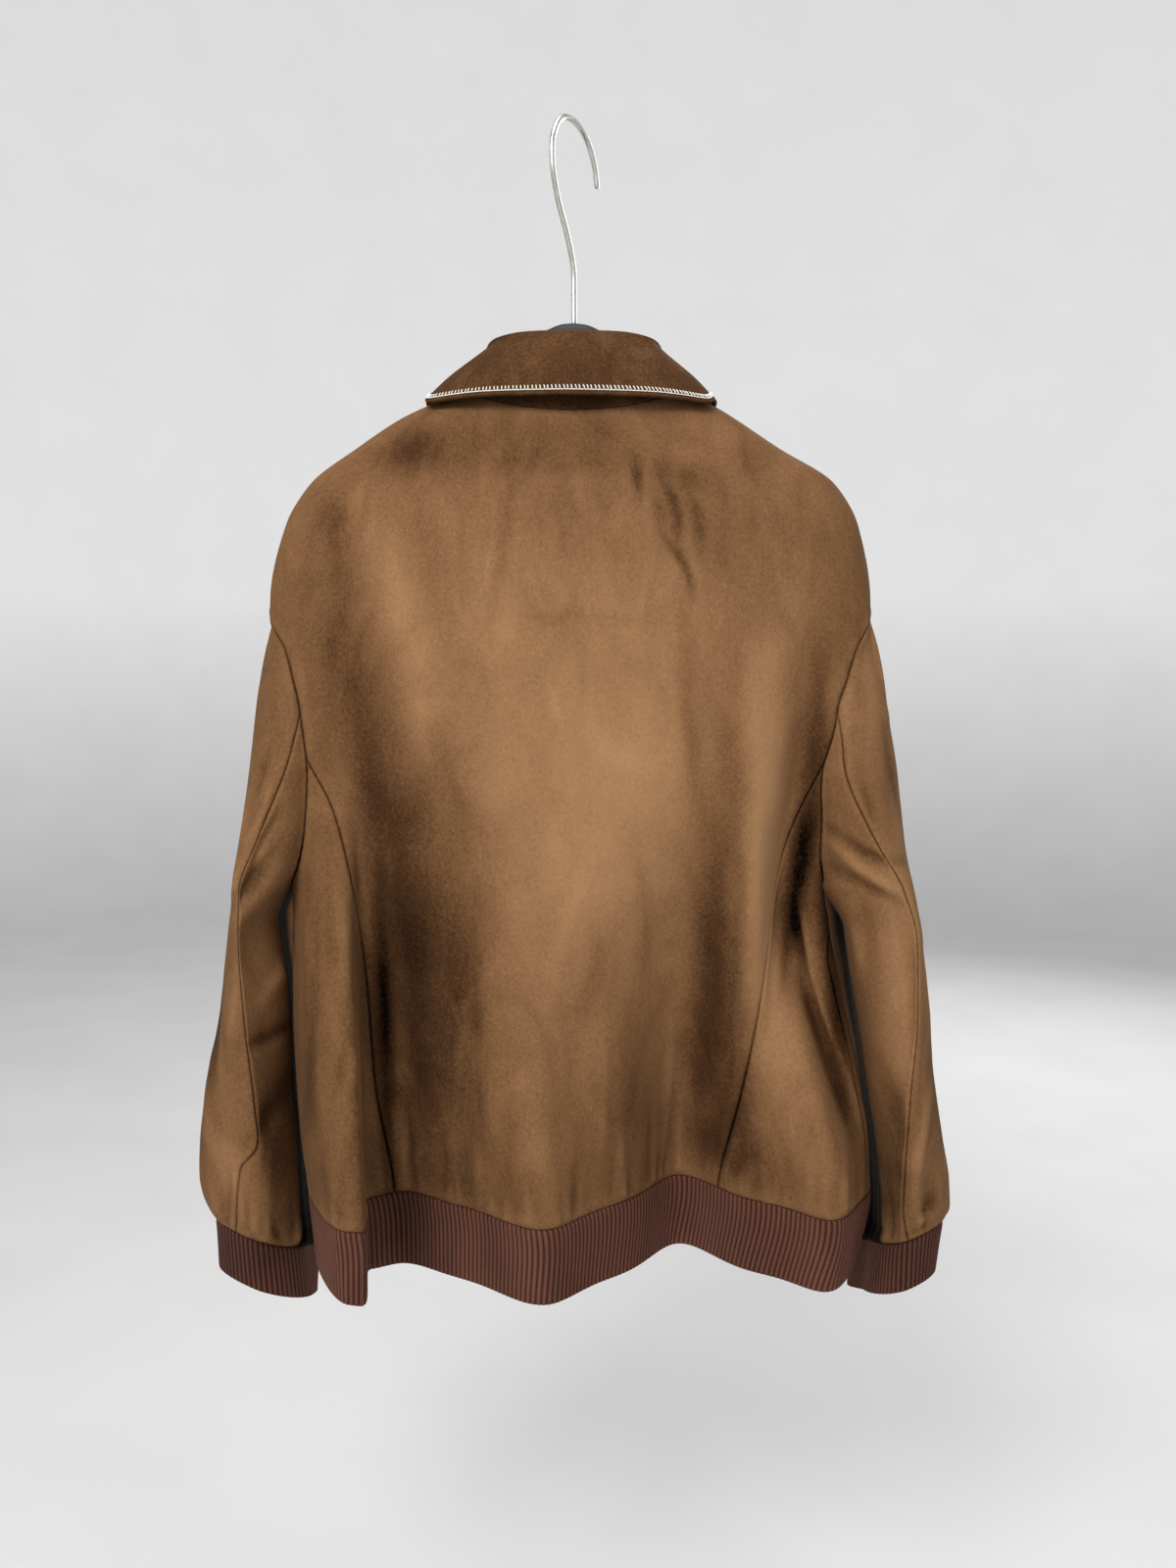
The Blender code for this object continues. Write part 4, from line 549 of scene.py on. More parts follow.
# distances of the close rows beside a seam, and of the rows elsewhere
RIM = (0.0, 0.0006, 0.0013, 0.0022, 0.0034, 0.0050, 0.0072)
GAP = 0.0034

# sides of a panel's grid, by the mark of its edge
EDGES = {"t": np.s_[:1], "b": np.s_[-1:], "f": np.s_[:, :1], "l": np.s_[:, -1:]}

# a face's corners in the opposite sense, from the same first corner
TURNED = [0, 3, 2, 1]

# collar leaf: points of the coarse grid across and down, its length, width and row spacing
LEAF_COLS = 27
LEAF_ROWS = 7
LEAF_LENGTH = 0.62
LEAF_WIDTH = 0.050
LEAF_GAP = 0.0036


def curve(table, column):
    """Smooth curve through one column of a table, without overshoot; heights fall down it."""
    rows = sorted(table, key=lambda row: row[0])
    xs = np.array([row[0] for row in rows], float)
    ys = np.array([row[column] for row in rows], float)
    h = np.diff(xs)
    d = np.diff(ys) / h
    m = np.zeros(len(xs))
    for k in range(1, len(xs) - 1):
        if d[k - 1] * d[k] > 0:
            w1 = 2 * h[k] + h[k - 1]
            w2 = h[k] + 2 * h[k - 1]
            m[k] = (w1 + w2) / (w1 / d[k - 1] + w2 / d[k])
    m[0] = d[0]
    m[-1] = d[-1]

    def value(q):
        q = np.clip(np.asarray(q, float), xs[0], xs[-1])
        k = np.clip(np.searchsorted(xs, q, side="right") - 1, 0, len(h) - 1)
        u = (q - xs[k]) / h[k]
        a = (1 + 2 * u) * (1 - u) ** 2 * ys[k] + u * (1 - u) ** 2 * h[k] * m[k]
        b = u * u * (3 - 2 * u) * ys[k + 1] + u * u * (u - 1) * h[k] * m[k + 1]
        return a + b

    return value


def ramp(u):
    """0 to 1 with level ends."""
    u = np.clip(u, 0.0, 1.0)
    return u * u * (3 - 2 * u)


def power(v, n):
    """Signed power."""
    return np.sign(v) * np.abs(v) ** n


class Body:
    """The jacket's body: a point for an angle round its outline and a height."""

    def __init__(self):
        self.left = curve(BODY, 1)
        self.right = curve(BODY, 2)
        self.back = curve(BODY, 3)
        self.front = curve(BODY, 4)
        self.middle = curve(BODY, 5)
        self.square = curve(BODY, 6)
        self.in_left = curve(ARMHOLE, 1)
        self.in_right = curve(ARMHOLE, 2)
        self.in_front = curve(ARMHOLE, 3)
        self.seam_x = {1: curve(SIDE_SEAMS, 1), -1: curve(SIDE_SEAMS, 2)}
        self.seam_t = {1: curve(SIDE_SEAMS, 3), -1: curve(SIDE_SEAMS, 4)}

    def point(self, t, z):
        t, z = np.broadcast_arrays(np.asarray(t, float), np.asarray(z, float))
        left = self.left(z)
        right = self.right(z)
        n = self.square(z)
        c = power(np.cos(t), 2 / n)
        s = power(np.sin(t), 2 / n)
        x = (left + right) / 2 + (left - right) / 2 * c
        mid = self.middle(z)
        depth = np.where(s >= 0, self.back(z) - mid, mid - self.front(z))
        y = mid + depth * s
        sway = 0.0 * x
        for face, x0, z0, x1, z_full, z_end, w_plus, w_minus, out, lean, shape in FOLDS:
            way = np.clip((z0 - z) / (z0 - HEM_SEAM), 0.0, 1.0)
            at = x0 + (x1 - x0) * way
            amount = ramp((z0 - z) / (z0 - z_full)) * (1 - ramp((z_full - z) / (z_full - z_end)))
            width = np.where(x > at, w_plus, w_minus)
            reach = ramp(np.abs(s) / (0.75 if shape == 2 else 0.50))
            bump = out * amount * np.exp(-np.abs((x - at) / width) ** shape) * reach
            y = y + np.where(s >= 0, bump, 0.0) * (face == "back")
            y = y - np.where(s < 0, bump, 0.0) * (face == "front")
            sway = sway + lean * np.where(s >= 0, bump, 0.0)
        return np.stack([x + sway, y, z], axis=-1)

    def normal(self, t, z):
        dt = 0.004
        dz = 0.0015
        along = self.point(t + dt, z) - self.point(t - dt, z)
        up = self.point(t, z + dz) - self.point(t, z - dz)
        n = np.cross(along, up)
        return unit(n)

    def angle(self, x, z, face=1):
        """Angle where the outline has this x, on the back (1) or the front (-1)."""
        left = self.left(z)
        right = self.right(z)
        c = np.clip((x - (left + right) / 2) / ((left - right) / 2), -1.0, 1.0)
        return face * np.arccos(np.clip(power(c, self.square(z) / 2), -1.0, 1.0))

    def armhole(self, side, z, face):
        inset = self.in_front(z) if face < 0 else (self.in_left(z) if side > 0 else self.in_right(z))
        x = self.left(z) - inset if side > 0 else self.right(z) + inset
        ahead = SHOULDER_AHEAD * (1 - ramp((ARM_TOP - z) / 0.04))
        t = self.angle(x, z, 1)
        return face * t - ahead if side > 0 else (t + ahead if face > 0 else 2 * np.pi - t + ahead)

    def hole_edge(self, side, z, back):
        """Armhole's angle on its back edge where back is true, on its front edge elsewhere."""
        return np.where(back, self.armhole(side, z, 1), self.armhole(side, z, -1))

    def shoulder(self, side, z):
        t = -SHOULDER_AHEAD + 0.0 * z
        return t if side > 0 else np.pi - t

    def side_back(self, side, z):
        t = self.angle(self.seam_x[side](z), z, 1)
        top = SIDE_NOTCH_BACK
        miss = self.armhole(side, top, 1) - self.angle(self.seam_x[side](top), top, 1)
        return t + miss * (1 - ramp((top - z) / 0.06))

    def side_front(self, side, z):
        t = np.radians(self.seam_t[side](z))
        t = t if side > 0 else np.pi - t
        top = SIDE_NOTCH_FRONT
        start = np.radians(self.seam_t[side](top))
        meet = self.armhole(side, top, -1)
        meet = meet if side > 0 else meet % (2 * np.pi)
        miss = meet - (start if side > 0 else np.pi - start)
        return t + miss * (1 - ramp((top - z) / 0.06))

    def opening(self, side, z):
        t = 2 * np.pi - self.angle(side * OPENING_HALF, z, 1)
        return t - 2 * np.pi if side > 0 else t

    def share(self, z, t0, t1, s):
        """Angle at a share of the way, by length, along the level outline from t0 to t1."""
        u = np.linspace(0.0, 1.0, 121)
        t = t0[..., None] + (t1 - t0)[..., None] * u
        p = self.point(t, z[..., None])
        step = np.linalg.norm(np.diff(p[..., :2], axis=-2), axis=-1)
        run = np.concatenate([np.zeros(step.shape[:-1] + (1,)), np.cumsum(step, axis=-1)], axis=-1)
        want = s * run[..., -1]
        k = np.clip((run <= want[..., None]).sum(-1) - 1, 0, 119)
        a = np.take_along_axis(run, k[..., None], -1)[..., 0]
        b = np.take_along_axis(run, k[..., None] + 1, -1)[..., 0]
        f = (k + (want - a) / np.maximum(b - a, 1e-9)) / 120.0
        return t0 + (t1 - t0) * f


class Sleeve:
    """One sleeve: a point for an angle round its oval (0 outward, 90 back) and a height."""

    def __init__(self, side, body):
        table = SLEEVE_L if side > 0 else SLEEVE_R
        self.side = side
        self.body = body
        self.out = curve(table, 1)
        self.inn = curve(table, 2)
        self.back = curve(table, 3)
        self.front = curve(table, 4)
        self.crease = curve(table, 5)
        self.edge = curve(table, 6)
        self.arm_back = curve(ARM_ANGLE, 1)
        self.arm_front = curve(ARM_ANGLE, 2)
        self.seam_back = curve(SLEEVE_SEAMS, 1 if side > 0 else 2)
        self.seam_front = curve(SLEEVE_SEAMS, 3)
        self.belly = curve(BELLY, 1 if side > 0 else 2)

    def oval(self, a, z):
        out = self.out(z)
        inn = self.inn(z)
        mid = (out + inn) / 2
        c = power(np.cos(a), 2 / 1.6)
        s = power(np.sin(a), 2 / 2.2)
        lean = np.where(s > 0, self.crease(z), self.edge(z)) - mid
        turn = np.where(s > 0, np.abs(s) ** BACK_TURN, np.abs(s) ** FRONT_TURN)
        off = (a % (2 * np.pi) - BELLY_AT) / BELLY_WIDE
        x = mid + (out - inn) / 2 * c + lean * turn - self.belly(z) * np.exp(-off * off)
        cy = (self.back(z) + self.front(z)) / 2
        y = cy + (self.back(z) - self.front(z)) / 2 * s
        return np.stack([self.side * x, y, z], axis=-1)

    def pull(self, a, z):
        """Shift that brings the oval onto the armhole, dying away round the sleeve."""
        zc = np.clip(z, ARM_BOTTOM, ARM_TOP)
        back = np.radians(self.arm_back(zc))
        front = np.radians(self.arm_front(zc))
        half = (back + front) / 2
        turn = (a - (back - front) / 2 + np.pi) % (2 * np.pi) - np.pi
        shift = 0.0
        for face, at in ((1, back), (-1, front)):
            hole = self.body.point(self.body.armhole(self.side, zc, face), zc)
            share = (1 + face * np.clip(turn / np.maximum(half, 1e-3), -1.0, 1.0)) / 2
            shift = shift + (hole - self.oval(face * at, zc)) * share[..., None]
        near = np.exp(-((np.abs(turn) - half) / 0.75) ** 2)
        open_cap = ramp(half / 0.9) * (1 - ramp(np.abs(turn) / np.maximum(0.6 * half, 1e-3)))
        near = near * (1 - open_cap) * np.exp(-np.maximum(ARM_BOTTOM - z, 0.0) / 0.03)
        return shift * near[..., None]

    def point(self, a, z):
        a, z = np.broadcast_arrays(np.asarray(a, float), np.asarray(z, float))
        move = self.pull(a, z)
        move[..., 2] = 0.0
        return self.oval(a, z) + move

    def normal(self, a, z):
        da = 0.02
        dz = 0.002
        along = self.point(a + da, z) - self.point(a - da, z)
        up = self.point(a, z + dz) - self.point(a, z - dz)
        n = np.cross(along, up) * self.side
        return unit(n)

    def arm(self, z, face):
        return face * np.radians(self.arm_back(z) if face > 0 else self.arm_front(z))

    def seam(self, z, face):
        """Angle of a sleeve seam, which starts on the armhole at its notch."""
        top = SLEEVE_NOTCH_BACK if face > 0 else SLEEVE_NOTCH_FRONT
        table = self.seam_back if face > 0 else self.seam_front
        miss = self.arm(top, face) - face * np.radians(table(top))
        return face * np.radians(table(z)) + miss * (1 - ramp((top - z) / 0.05))


def smooth(xs, ys, q):
    """Catmull-Rom curve through points at uneven stations; the points may be arrays."""
    xs = np.asarray(xs, float)
    ys = np.asarray(ys, float)
    q = np.asarray(q, float)
    m = np.gradient(ys, xs, axis=0)
    k = np.clip(np.searchsorted(xs, q, side="right") - 1, 0, len(xs) - 2)
    tail = (slice(None),) + (None,) * (ys.ndim - 1)
    h = (xs[k + 1] - xs[k])[tail]
    u = ((q - xs[k]) / (xs[k + 1] - xs[k]))[tail]
    a = (1 + 2 * u) * (1 - u) ** 2 * ys[k] + u * (1 - u) ** 2 * h * m[k]
    b = u * u * (3 - 2 * u) * ys[k + 1] + u * u * (u - 1) * h * m[k + 1]
    return a + b


def unit(v):
    """Vectors of length one."""
    return v / np.maximum(np.linalg.norm(v, axis=-1, keepdims=True), 1e-9)


def run_along(p):
    """Distance of each point of a path from its first one."""
    return np.concatenate([[0.0], np.cumsum(np.linalg.norm(np.diff(p, axis=0), axis=-1))])


def at_run(points, run, s):
    """Points of a path at one or more distances along it."""
    return np.stack([np.interp(s, run, points[:, k]) for k in range(3)], axis=-1)


def sided(name, side):
    """A piece's name with the wearer's side."""
    return name + ("_left" if side > 0 else "_right")


def numbered(grid):
    """Numbers of a grid's points, in its rows and columns."""
    rows, cols = grid.shape[:2]
    return np.arange(rows * cols).reshape(rows, cols)


def grid_faces(ids, closed=False):
    """Faces between neighbouring rows and columns of point numbers, closed round the columns."""
    if closed:
        ids = np.concatenate([ids, ids[:, :1]], axis=1)
    four = (ids[:-1, :-1], ids[:-1, 1:], ids[1:, 1:], ids[1:, :-1])
    return np.stack(four, axis=-1).reshape(-1, 4)


def facing(p, out):
    """Grid normals turned to the side of the given outward directions."""
    n = unit(np.cross(np.gradient(p, axis=0), np.gradient(p, axis=1)))
    turn = np.sign((n * out).sum(axis=-1).mean())
    return n * turn


def across(width, gap=GAP):
    """Shares of the way across a width, close together beside the seams at its two ends."""
    rim = np.array(RIM) / width
    count = max(2, int(round((width - 2 * RIM[-1]) / gap)))
    return np.concatenate([rim[:-1], np.linspace(rim[-1], 1 - rim[-1], count + 1), 1 - rim[-2::-1]])


def stations(marks, start_rim=True):
    """Fine row numbers between whole rows, whose lengths are given: even, and close at the ends."""
    run = np.concatenate([[0.0], np.cumsum(marks)])
    found = [0.0]
    for k, length in enumerate(marks):
        count = max(1, int(round(length / GAP)))
        found += [k + (i + 1) / count for i in range(count)]
    found = np.array(found)
    at = np.interp(found, np.arange(len(run)), run)
    rim = np.array(RIM)
    if start_rim:
        at = np.concatenate([rim, at[at > rim[-1] + GAP / 2]])
    end = run[-1]
    at = np.concatenate([at[at < end - rim[-1] - GAP / 2], end - rim[::-1]])
    return np.interp(at, run, np.arange(len(run)))


def between(rows, at):
    """Values at fractional row numbers."""
    return np.interp(at, np.arange(len(rows)), rows)


class Panel:
    """A fine grid of points on the cloth's outside, rows running down, columns across."""

    def __init__(self, name, p, n, seams="tbfl", wall=WALL):
        self.name = name
        self.p = p
        self.n = n
        self.seams = seams
        self.wall = wall
        self.extra = {}

    def lengths(self):
        """Distance of each point from the top, bottom, first and last edge, along the grid."""
        down = np.linalg.norm(np.diff(self.p, axis=0), axis=-1)
        side = np.linalg.norm(np.diff(self.p, axis=1), axis=-1)
        down = np.concatenate([np.zeros((1, down.shape[1])), np.cumsum(down, axis=0)])
        side = np.concatenate([np.zeros((side.shape[0], 1)), np.cumsum(side, axis=1)], axis=1)
        return {"t": down, "b": down[-1:] - down, "f": side, "l": side[:, -1:] - side}

    def rim(self):
        """Row and column of each point on the panel's edges."""
        rows, cols = self.p.shape[:2]
        ring = [(0, c) for c in range(cols)] + [(rows - 1, c) for c in range(cols)]
        return ring + [(r, c) for r in range(1, rows - 1) for c in (0, cols - 1)]


def body_rows(face):
    """Fine rows down a body panel: numbers on its whole rows, heights at its side, fan drops."""
    arm = BACK_ARM_ROWS if face > 0 else FRONT_ARM_ROWS
    z = np.array(SHOULDER_ROWS + arm[1:] + [HEM_SEAM])
    fan = np.array([0.0] * (len(SHOULDER_ROWS) - 1) + BODY_FAN + [0.0])
    at = stations(np.maximum(np.abs(np.diff(z)), np.abs(np.diff(z - fan))))
    return at, between(z, at), between(fan, at)


def body_edge(body, side, face, z, at):
    """Angles down the side of the back or a front: shoulder, armhole, side seam."""
    last = len(SHOULDER_ROWS) - 1
    notch = last + len(BACK_ARM_ROWS) - 1
    seam = body.side_back(side, z) if face > 0 else body.side_front(side, z)
    if face < 0 and side < 0:
        seam = seam % (2 * np.pi)
    arm = body.armhole(side, z, face)
    return np.where(at <= last, body.shoulder(side, z), np.where(at <= notch, arm, seam))


def body_grid(body, ta, tb, z, s, drop):
    """Angles and heights of a level grid between two edges, each point let down by its drop."""
    z = np.broadcast_to(z[:, None], drop.shape)
    share = np.broadcast_to(s[None], drop.shape)
    t = body.share(z, ta[:, None] + 0 * share, tb[:, None] + 0 * share, share)
    x = body.point(t, z)[..., 0]
    low = z - drop
    face = 1 if np.sin(np.mean(t[0])) > 0 else -1
    moved = body.angle(x, low, 1)
    if face < 0:
        moved = -moved if np.mean(t[0]) < 0 else 2 * np.pi - moved
    keep = ramp(np.sin(t) * face / 0.12) * (np.abs(drop) > 1e-9)
    return t + (moved - t) * keep, low


def back_panel(body):
    """The back, from the neck seam to the hem seam."""
    at, z, fan = body_rows(1)
    s = across(0.50)
    dip = NECK_DIP_BACK * (1 - ramp((z[0] - z) / 0.16))[:, None]
    drop = dip * np.sin(np.pi * s) ** 0.8 + fan[:, None] * ramp(np.minimum(s, 1 - s) / 0.2)
    ta = body_edge(body, 1, 1, z, at)
    tb = body_edge(body, -1, 1, z, at)
    t, z = body_grid(body, ta, tb, z, s, drop)
    return Panel("suede_back", body.point(t, z), body.normal(t, z))


def front_panel(body, side):
    """One front, from its side seam to the zip."""
    at, z, fan = body_rows(-1)
    s = across(0.25)
    dip = NECK_DIP_FRONT * (1 - ramp((z[0] - z) / 0.42))[:, None]
    drop = dip * np.sin(np.pi / 2 * s) ** 0.9 + fan[:, None] * ramp(s / 0.4)
    ta = body_edge(body, side, -1, z, at)
    tb = body.opening(side, z)
    t, z = body_grid(body, ta, tb, z, s, drop)
    t[:, -1] = body.opening(side, z[:, -1])
    return Panel(sided("suede_front", side), body.point(t, z), body.normal(t, z))


def under_arm(body, side, top_back, top_front):
    """Heights and faces along the bottom of an armhole, even along it and close at its ends."""
    w = np.linspace(-1.0, 1.0, 801)
    top = np.where(w < 0, top_back, top_front)
    z = ARM_BOTTOM + (top - ARM_BOTTOM) * w * w
    run = run_along(body.point(body.hole_edge(side, z, w < 0), z))
    s = across(run[-1])
    w = np.interp(s * run[-1], run, w)
    top = np.where(w < 0, top_back, top_front)
    return ARM_BOTTOM + (top - ARM_BOTTOM) * w * w, w < 0, s


def side_panel(body, side):
    """Panel between the back and a front, below the armhole."""
    top_z, back, s = under_arm(body, side, SIDE_NOTCH_BACK, SIDE_NOTCH_FRONT)
    top_t = body.hole_edge(side, top_z, back)
    if side > 0:
        top_t = np.where(top_t > np.pi, top_t - 2 * np.pi, top_t)
    v = stations([0.26])
    z = top_z[None] + (HEM_SEAM - top_z[None]) * v[:, None]
    ta = body.side_back(side, z)
    tb = body.side_front(side, z)
    first = (top_t - ta[0]) / (tb[0] - ta[0])
    mix = ramp(v / 0.45)[:, None]
    even = body.share(z, ta, tb, np.broadcast_to(s[None], z.shape))
    t = (ta + (tb - ta) * first[None]) * (1 - mix) + even * mix
    p = body.point(t, z)
    p[0] = body.point(top_t, top_z)
    return Panel(sided("suede_side", side), p, body.normal(t, z))


def fair(p, top, bottom):
    """Bend the rows from top up to bottom as little as possible, between those around them."""
    cols = p.shape[1]
    free = [(r, c) for r in range(top, bottom) for c in range(1, cols - 1)]
    place = {key: k for k, key in enumerate(free)}
    spots = [(r, c) for r in range(top, bottom + 1) for c in range(1, cols - 1)]
    left = np.zeros((len(spots), len(place)))
    right = np.zeros((len(spots), 3))
    for k, (r, c) in enumerate(spots):
        ring = (((r, c), 4.0), ((r - 1, c), -1.0), ((r + 1, c), -1.0), ((r, c - 1), -1.0),
                ((r, c + 1), -1.0))
        for key, weight in ring:
            if key in place:
                left[k, place[key]] = weight
            else:
                right[k] -= weight * p[key]
    found = np.linalg.lstsq(left, right, rcond=None)[0]
    for key, k in place.items():
        p[key] = found[k]


def sleeve_grid(sleeve, body, zb, zf, at, s):
    """Points of a sleeve's outer part for row heights at its back and front edges."""
    side = sleeve.side
    notch = len(BACK_ARM_ROWS) - 2
    arm = at <= notch
    ab = np.where(arm, sleeve.arm(zb, 1), sleeve.seam(zb, 1))[:, None]
    af = np.where(arm, sleeve.arm(zf, -1), sleeve.seam(zf, -1))[:, None]
    a = ab + (af - ab) * s[None]
    drop = np.interp(at, np.arange(len(SLEEVE_FAN)), SLEEVE_FAN)[:, None]
    z = zb[:, None] + (zf - zb)[:, None] * s[None] - drop * np.sin(np.pi * s)
    p = sleeve.point(a, z)
    hole_b = body.point(body.armhole(side, zb, 1), zb)
    hole_f = body.point(body.armhole(side, zf, -1), zf)
    p[arm, 0] = hole_b[arm]
    p[arm, -1] = hole_f[arm]
    return p, sleeve.normal(a, z)


def sleeve_top(sleeve, body):
    """Outer part of a sleeve; its cap springs from the armhole as a fair surface."""
    zb = np.array(BACK_ARM_ROWS[:-1] + [CUFF_SEAM])
    zf = np.array(FRONT_ARM_ROWS[:-1] + [CUFF_SEAM])
    whole = np.arange(len(zb) - 1, dtype=float)
    few = np.linspace(0.0, 1.0, 12)
    coarse, out = sleeve_grid(sleeve, body, zb[:-1], zf[:-1], whole, few)
    coarse[0] = coarse[0, 0]
    fair(coarse, 1, 6)
    middle = coarse[:, 5]
    lengths = list(np.linalg.norm(np.diff(middle, axis=0), axis=-1)) + [0.37]
    at = stations(lengths, start_rim=False)[1:]
    s = across(0.20)
    fb = between(zb, at)
    ff = between(zf, at)
    p, n = sleeve_grid(sleeve, body, fb, ff, at, s)
    cap = at < whole[-1]
    raised = smooth(whole, coarse, at[cap])
    raised = smooth(few, raised.transpose(1, 0, 2), s).transpose(1, 0, 2)
    raised = raised + (p[cap, :1] - raised[:, :1]) * ((1 - s) ** 3)[None, :, None]
    raised = raised + (p[cap, -1:] - raised[:, -1:]) * (s ** 3)[None, :, None]
    mix = (1 - ramp((at[cap] - 5.0) / 1.6))[:, None, None]
    p[cap] = raised * mix + p[cap] * (1 - mix)
    fine = facing(p, n)
    blend = (1 - ramp((at - 6.5) / 2.0))[:, None, None]
    n = unit(fine * blend + n * (1 - blend))
    return Panel(sided("suede_sleeve_top", sleeve.side), p, n)


def sleeve_under(sleeve, body):
    """Inner part of a sleeve, below the armhole."""
    side = sleeve.side
    top_z, back, s = under_arm(body, side, SLEEVE_NOTCH_BACK, SLEEVE_NOTCH_FRONT)
    top_a = np.where(back, sleeve.arm(top_z, 1), sleeve.arm(top_z, -1)) % (2 * np.pi)
    v = stations([0.35])
    z = top_z[None] + (CUFF_SEAM - top_z[None]) * v[:, None]
    a0 = sleeve.seam(z, 1)
    a1 = 2 * np.pi + sleeve.seam(z, -1)
    first = (top_a - a0[0]) / (a1[0] - a0[0])
    mix = ramp(v / 0.5)[:, None]
    a = a0 + (a1 - a0) * (first[None] * (1 - mix) + s[None] * mix)
    p = sleeve.point(a, z)
    n = sleeve.normal(a, z)
    p[0] = body.point(body.hole_edge(side, top_z, back), top_z)
    return Panel(sided("suede_sleeve_under", side), p, n)


def fold_line(reach, sides):
    """Points of the fold over which the collar turns."""
    x = curve(COLLAR, 1)(reach) * sides
    y = curve(COLLAR, 2)(reach)
    z = curve(COLLAR, 3)(reach)
    return np.stack([x, y, z], axis=-1)


def leaf_edge(body, reach, sides):
    """Points of the collar leaf's free edge."""
    t = np.radians(curve(COLLAR, 4)(reach))
    z = curve(COLLAR, 5)(reach)
    off = curve(COLLAR, 6)(reach)
    t = np.where(sides > 0, t, np.pi - t)
    return body.point(t, z) + body.normal(t, z) * off[..., None]


def collar_stand(back, fronts):
    """Band from the neck seam up to the fold."""
    neck = np.concatenate([fronts[1].p[0][::-1], back.p[0][1:], fronts[-1].p[0][1:]])
    run = run_along(neck)
    middle = len(fronts[1].p[0]) - 1 + (len(back.p[0]) - 1) // 2
    half = run[middle]
    reach = np.where(run < half, (half - run) / half, (run - half) / (run[-1] - half))
    fold = fold_line(reach, np.where(run < half, 1.0, -1.0))
    lift = stations([0.035])[::-1, None, None]
    p = neck + (fold - neck) * lift
    out = unit(neck * np.array([1.0, 1.0, 0.0]))
    return Panel("suede_collar_stand", p, facing(p, out), seams="b")


def collar_leaf(body):
    """Leaf that rolls over the fold and falls to its free edge."""
    q = np.linspace(1.0, -1.0, LEAF_COLS)
    reach = np.abs(q)
    sides = np.where(q > 0, 1.0, -1.0)
    fold = fold_line(reach, sides)
    edge = leaf_edge(body, reach, sides)
    away = unit((edge - fold) * np.array([1.0, 1.0, 0.0]))
    up = np.array([0.0, 0.0, 1.0])
    along = np.gradient(fold, axis=0)
    turn = unit(np.stack([-along[:, 1], along[:, 0], 0 * q], axis=1))
    turn = turn * np.sign((turn * away).sum(axis=1).mean())
    rows = []
    for out, rise in ((-WALL, 0.0003), (-0.0016, 0.0024), (0.0016, 0.0048), (0.0062, 0.0036)):
        rows.append(fold + turn * out + up * rise)
    over = fold + turn * 0.0050 + away * 0.0040 - up * 0.0015
    rows += [over, over + (edge - over) * 0.5 + away * 0.0030, edge]
    coarse = np.stack(rows)
    rim = 1 - np.array(RIM) / LEAF_WIDTH
    u = np.concatenate([np.linspace(0.0, 4.0, 15), np.linspace(4.0, 6.0, 19)[1:-2],
                        4.0 + 2.0 * rim[::-1]])
    u = np.unique(np.round(u, 6))
    fine = smooth(np.arange(LEAF_ROWS), coarse, u)
    whole = np.arange(LEAF_COLS)
    cols = across(LEAF_LENGTH, LEAF_GAP) * whole[-1]
    p = smooth(whole, fine.transpose(1, 0, 2), cols).transpose(1, 0, 2)
    outward = at_run(turn + 0.3 * up, whole, cols)
    return Panel("suede_collar_leaf", p, facing(p, outward), seams="", wall=LEAF_WALL)


def strokes(x, z, table):
    """Sum of soft strokes, each from x0, z0 to x1, z1 with a bow, a half width and an amount."""
    total = np.zeros(x.shape)
    for row in table:
        x0, z0, x1, z1, bow, width = (MM * v for v in row[:6])
        ax = x1 - x0
        az = z1 - z0
        length = math.hypot(ax, az)
        u = ((x - x0) * ax + (z - z0) * az) / length ** 2
        uc = np.clip(u, 0.0, 1.0)
        off = ((z - z0) * ax - (x - x0) * az) / length - bow * 4 * uc * (1 - uc)
        past = (u - uc) * length / (2.2 * width)
        body = 0.45 + 0.55 * ramp(np.minimum(uc, 1 - uc) / 0.35)
        total += row[6] * body * np.exp(-(off / width) ** 2 - past ** 2)
    return total


def shared_normals(panels):
    """Turn the normals beside each seam to a direction that its panels share."""
    spots = [(panel, key) for panel in panels for key in panel.rim()]
    tree = KDTree(len(spots))
    for k, (panel, key) in enumerate(spots):
        tree.insert(panel.p[key], k)
    tree.balance()
    found = {}
    for panel, key in spots:
        total = np.array(panel.n[key])
        seen = {panel.name}
        for co, k, distance in tree.find_range(panel.p[key], 0.0032):
            other, there = spots[k]
            if other.name not in seen:
                near = other.n[there]
                if np.dot(near, panel.n[key]) > -0.2:
                    total = total + near
                seen.add(other.name)
        found[panel.name, key] = unit(total)
    for panel in panels:
        far = panel.lengths()
        rows, cols = panel.p.shape[:2]
        want = panel.n.copy()
        for key in panel.rim():
            want[key] = found[panel.name, key]
        n = panel.n.copy()
        for mark, pick in EDGES.items():
            weight = np.exp(-(far[mark] / 0.005) ** 2)[..., None]
            n = n + (want[pick] - panel.n[pick]) * weight
        n = unit(n)
        for key in panel.rim():
            n[key] = want[key]
        panel.n = n


def gathers(run, far, size, reach):
    """Uneven small gathers that die away from a ribbed band."""
    wave = np.sin(2 * np.pi * run / 0.0117 + 1.7 * np.sin(2 * np.pi * run / 0.071))
    wave = wave * (0.6 + 0.5 * np.sin(2 * np.pi * run / 0.053 + 0.8))
    wave = wave + 0.8 * np.sin(2 * np.pi * run / 0.0261 + 2.1 * np.sin(2 * np.pi * run / 0.117))
    return size * wave * np.exp(-far / reach)


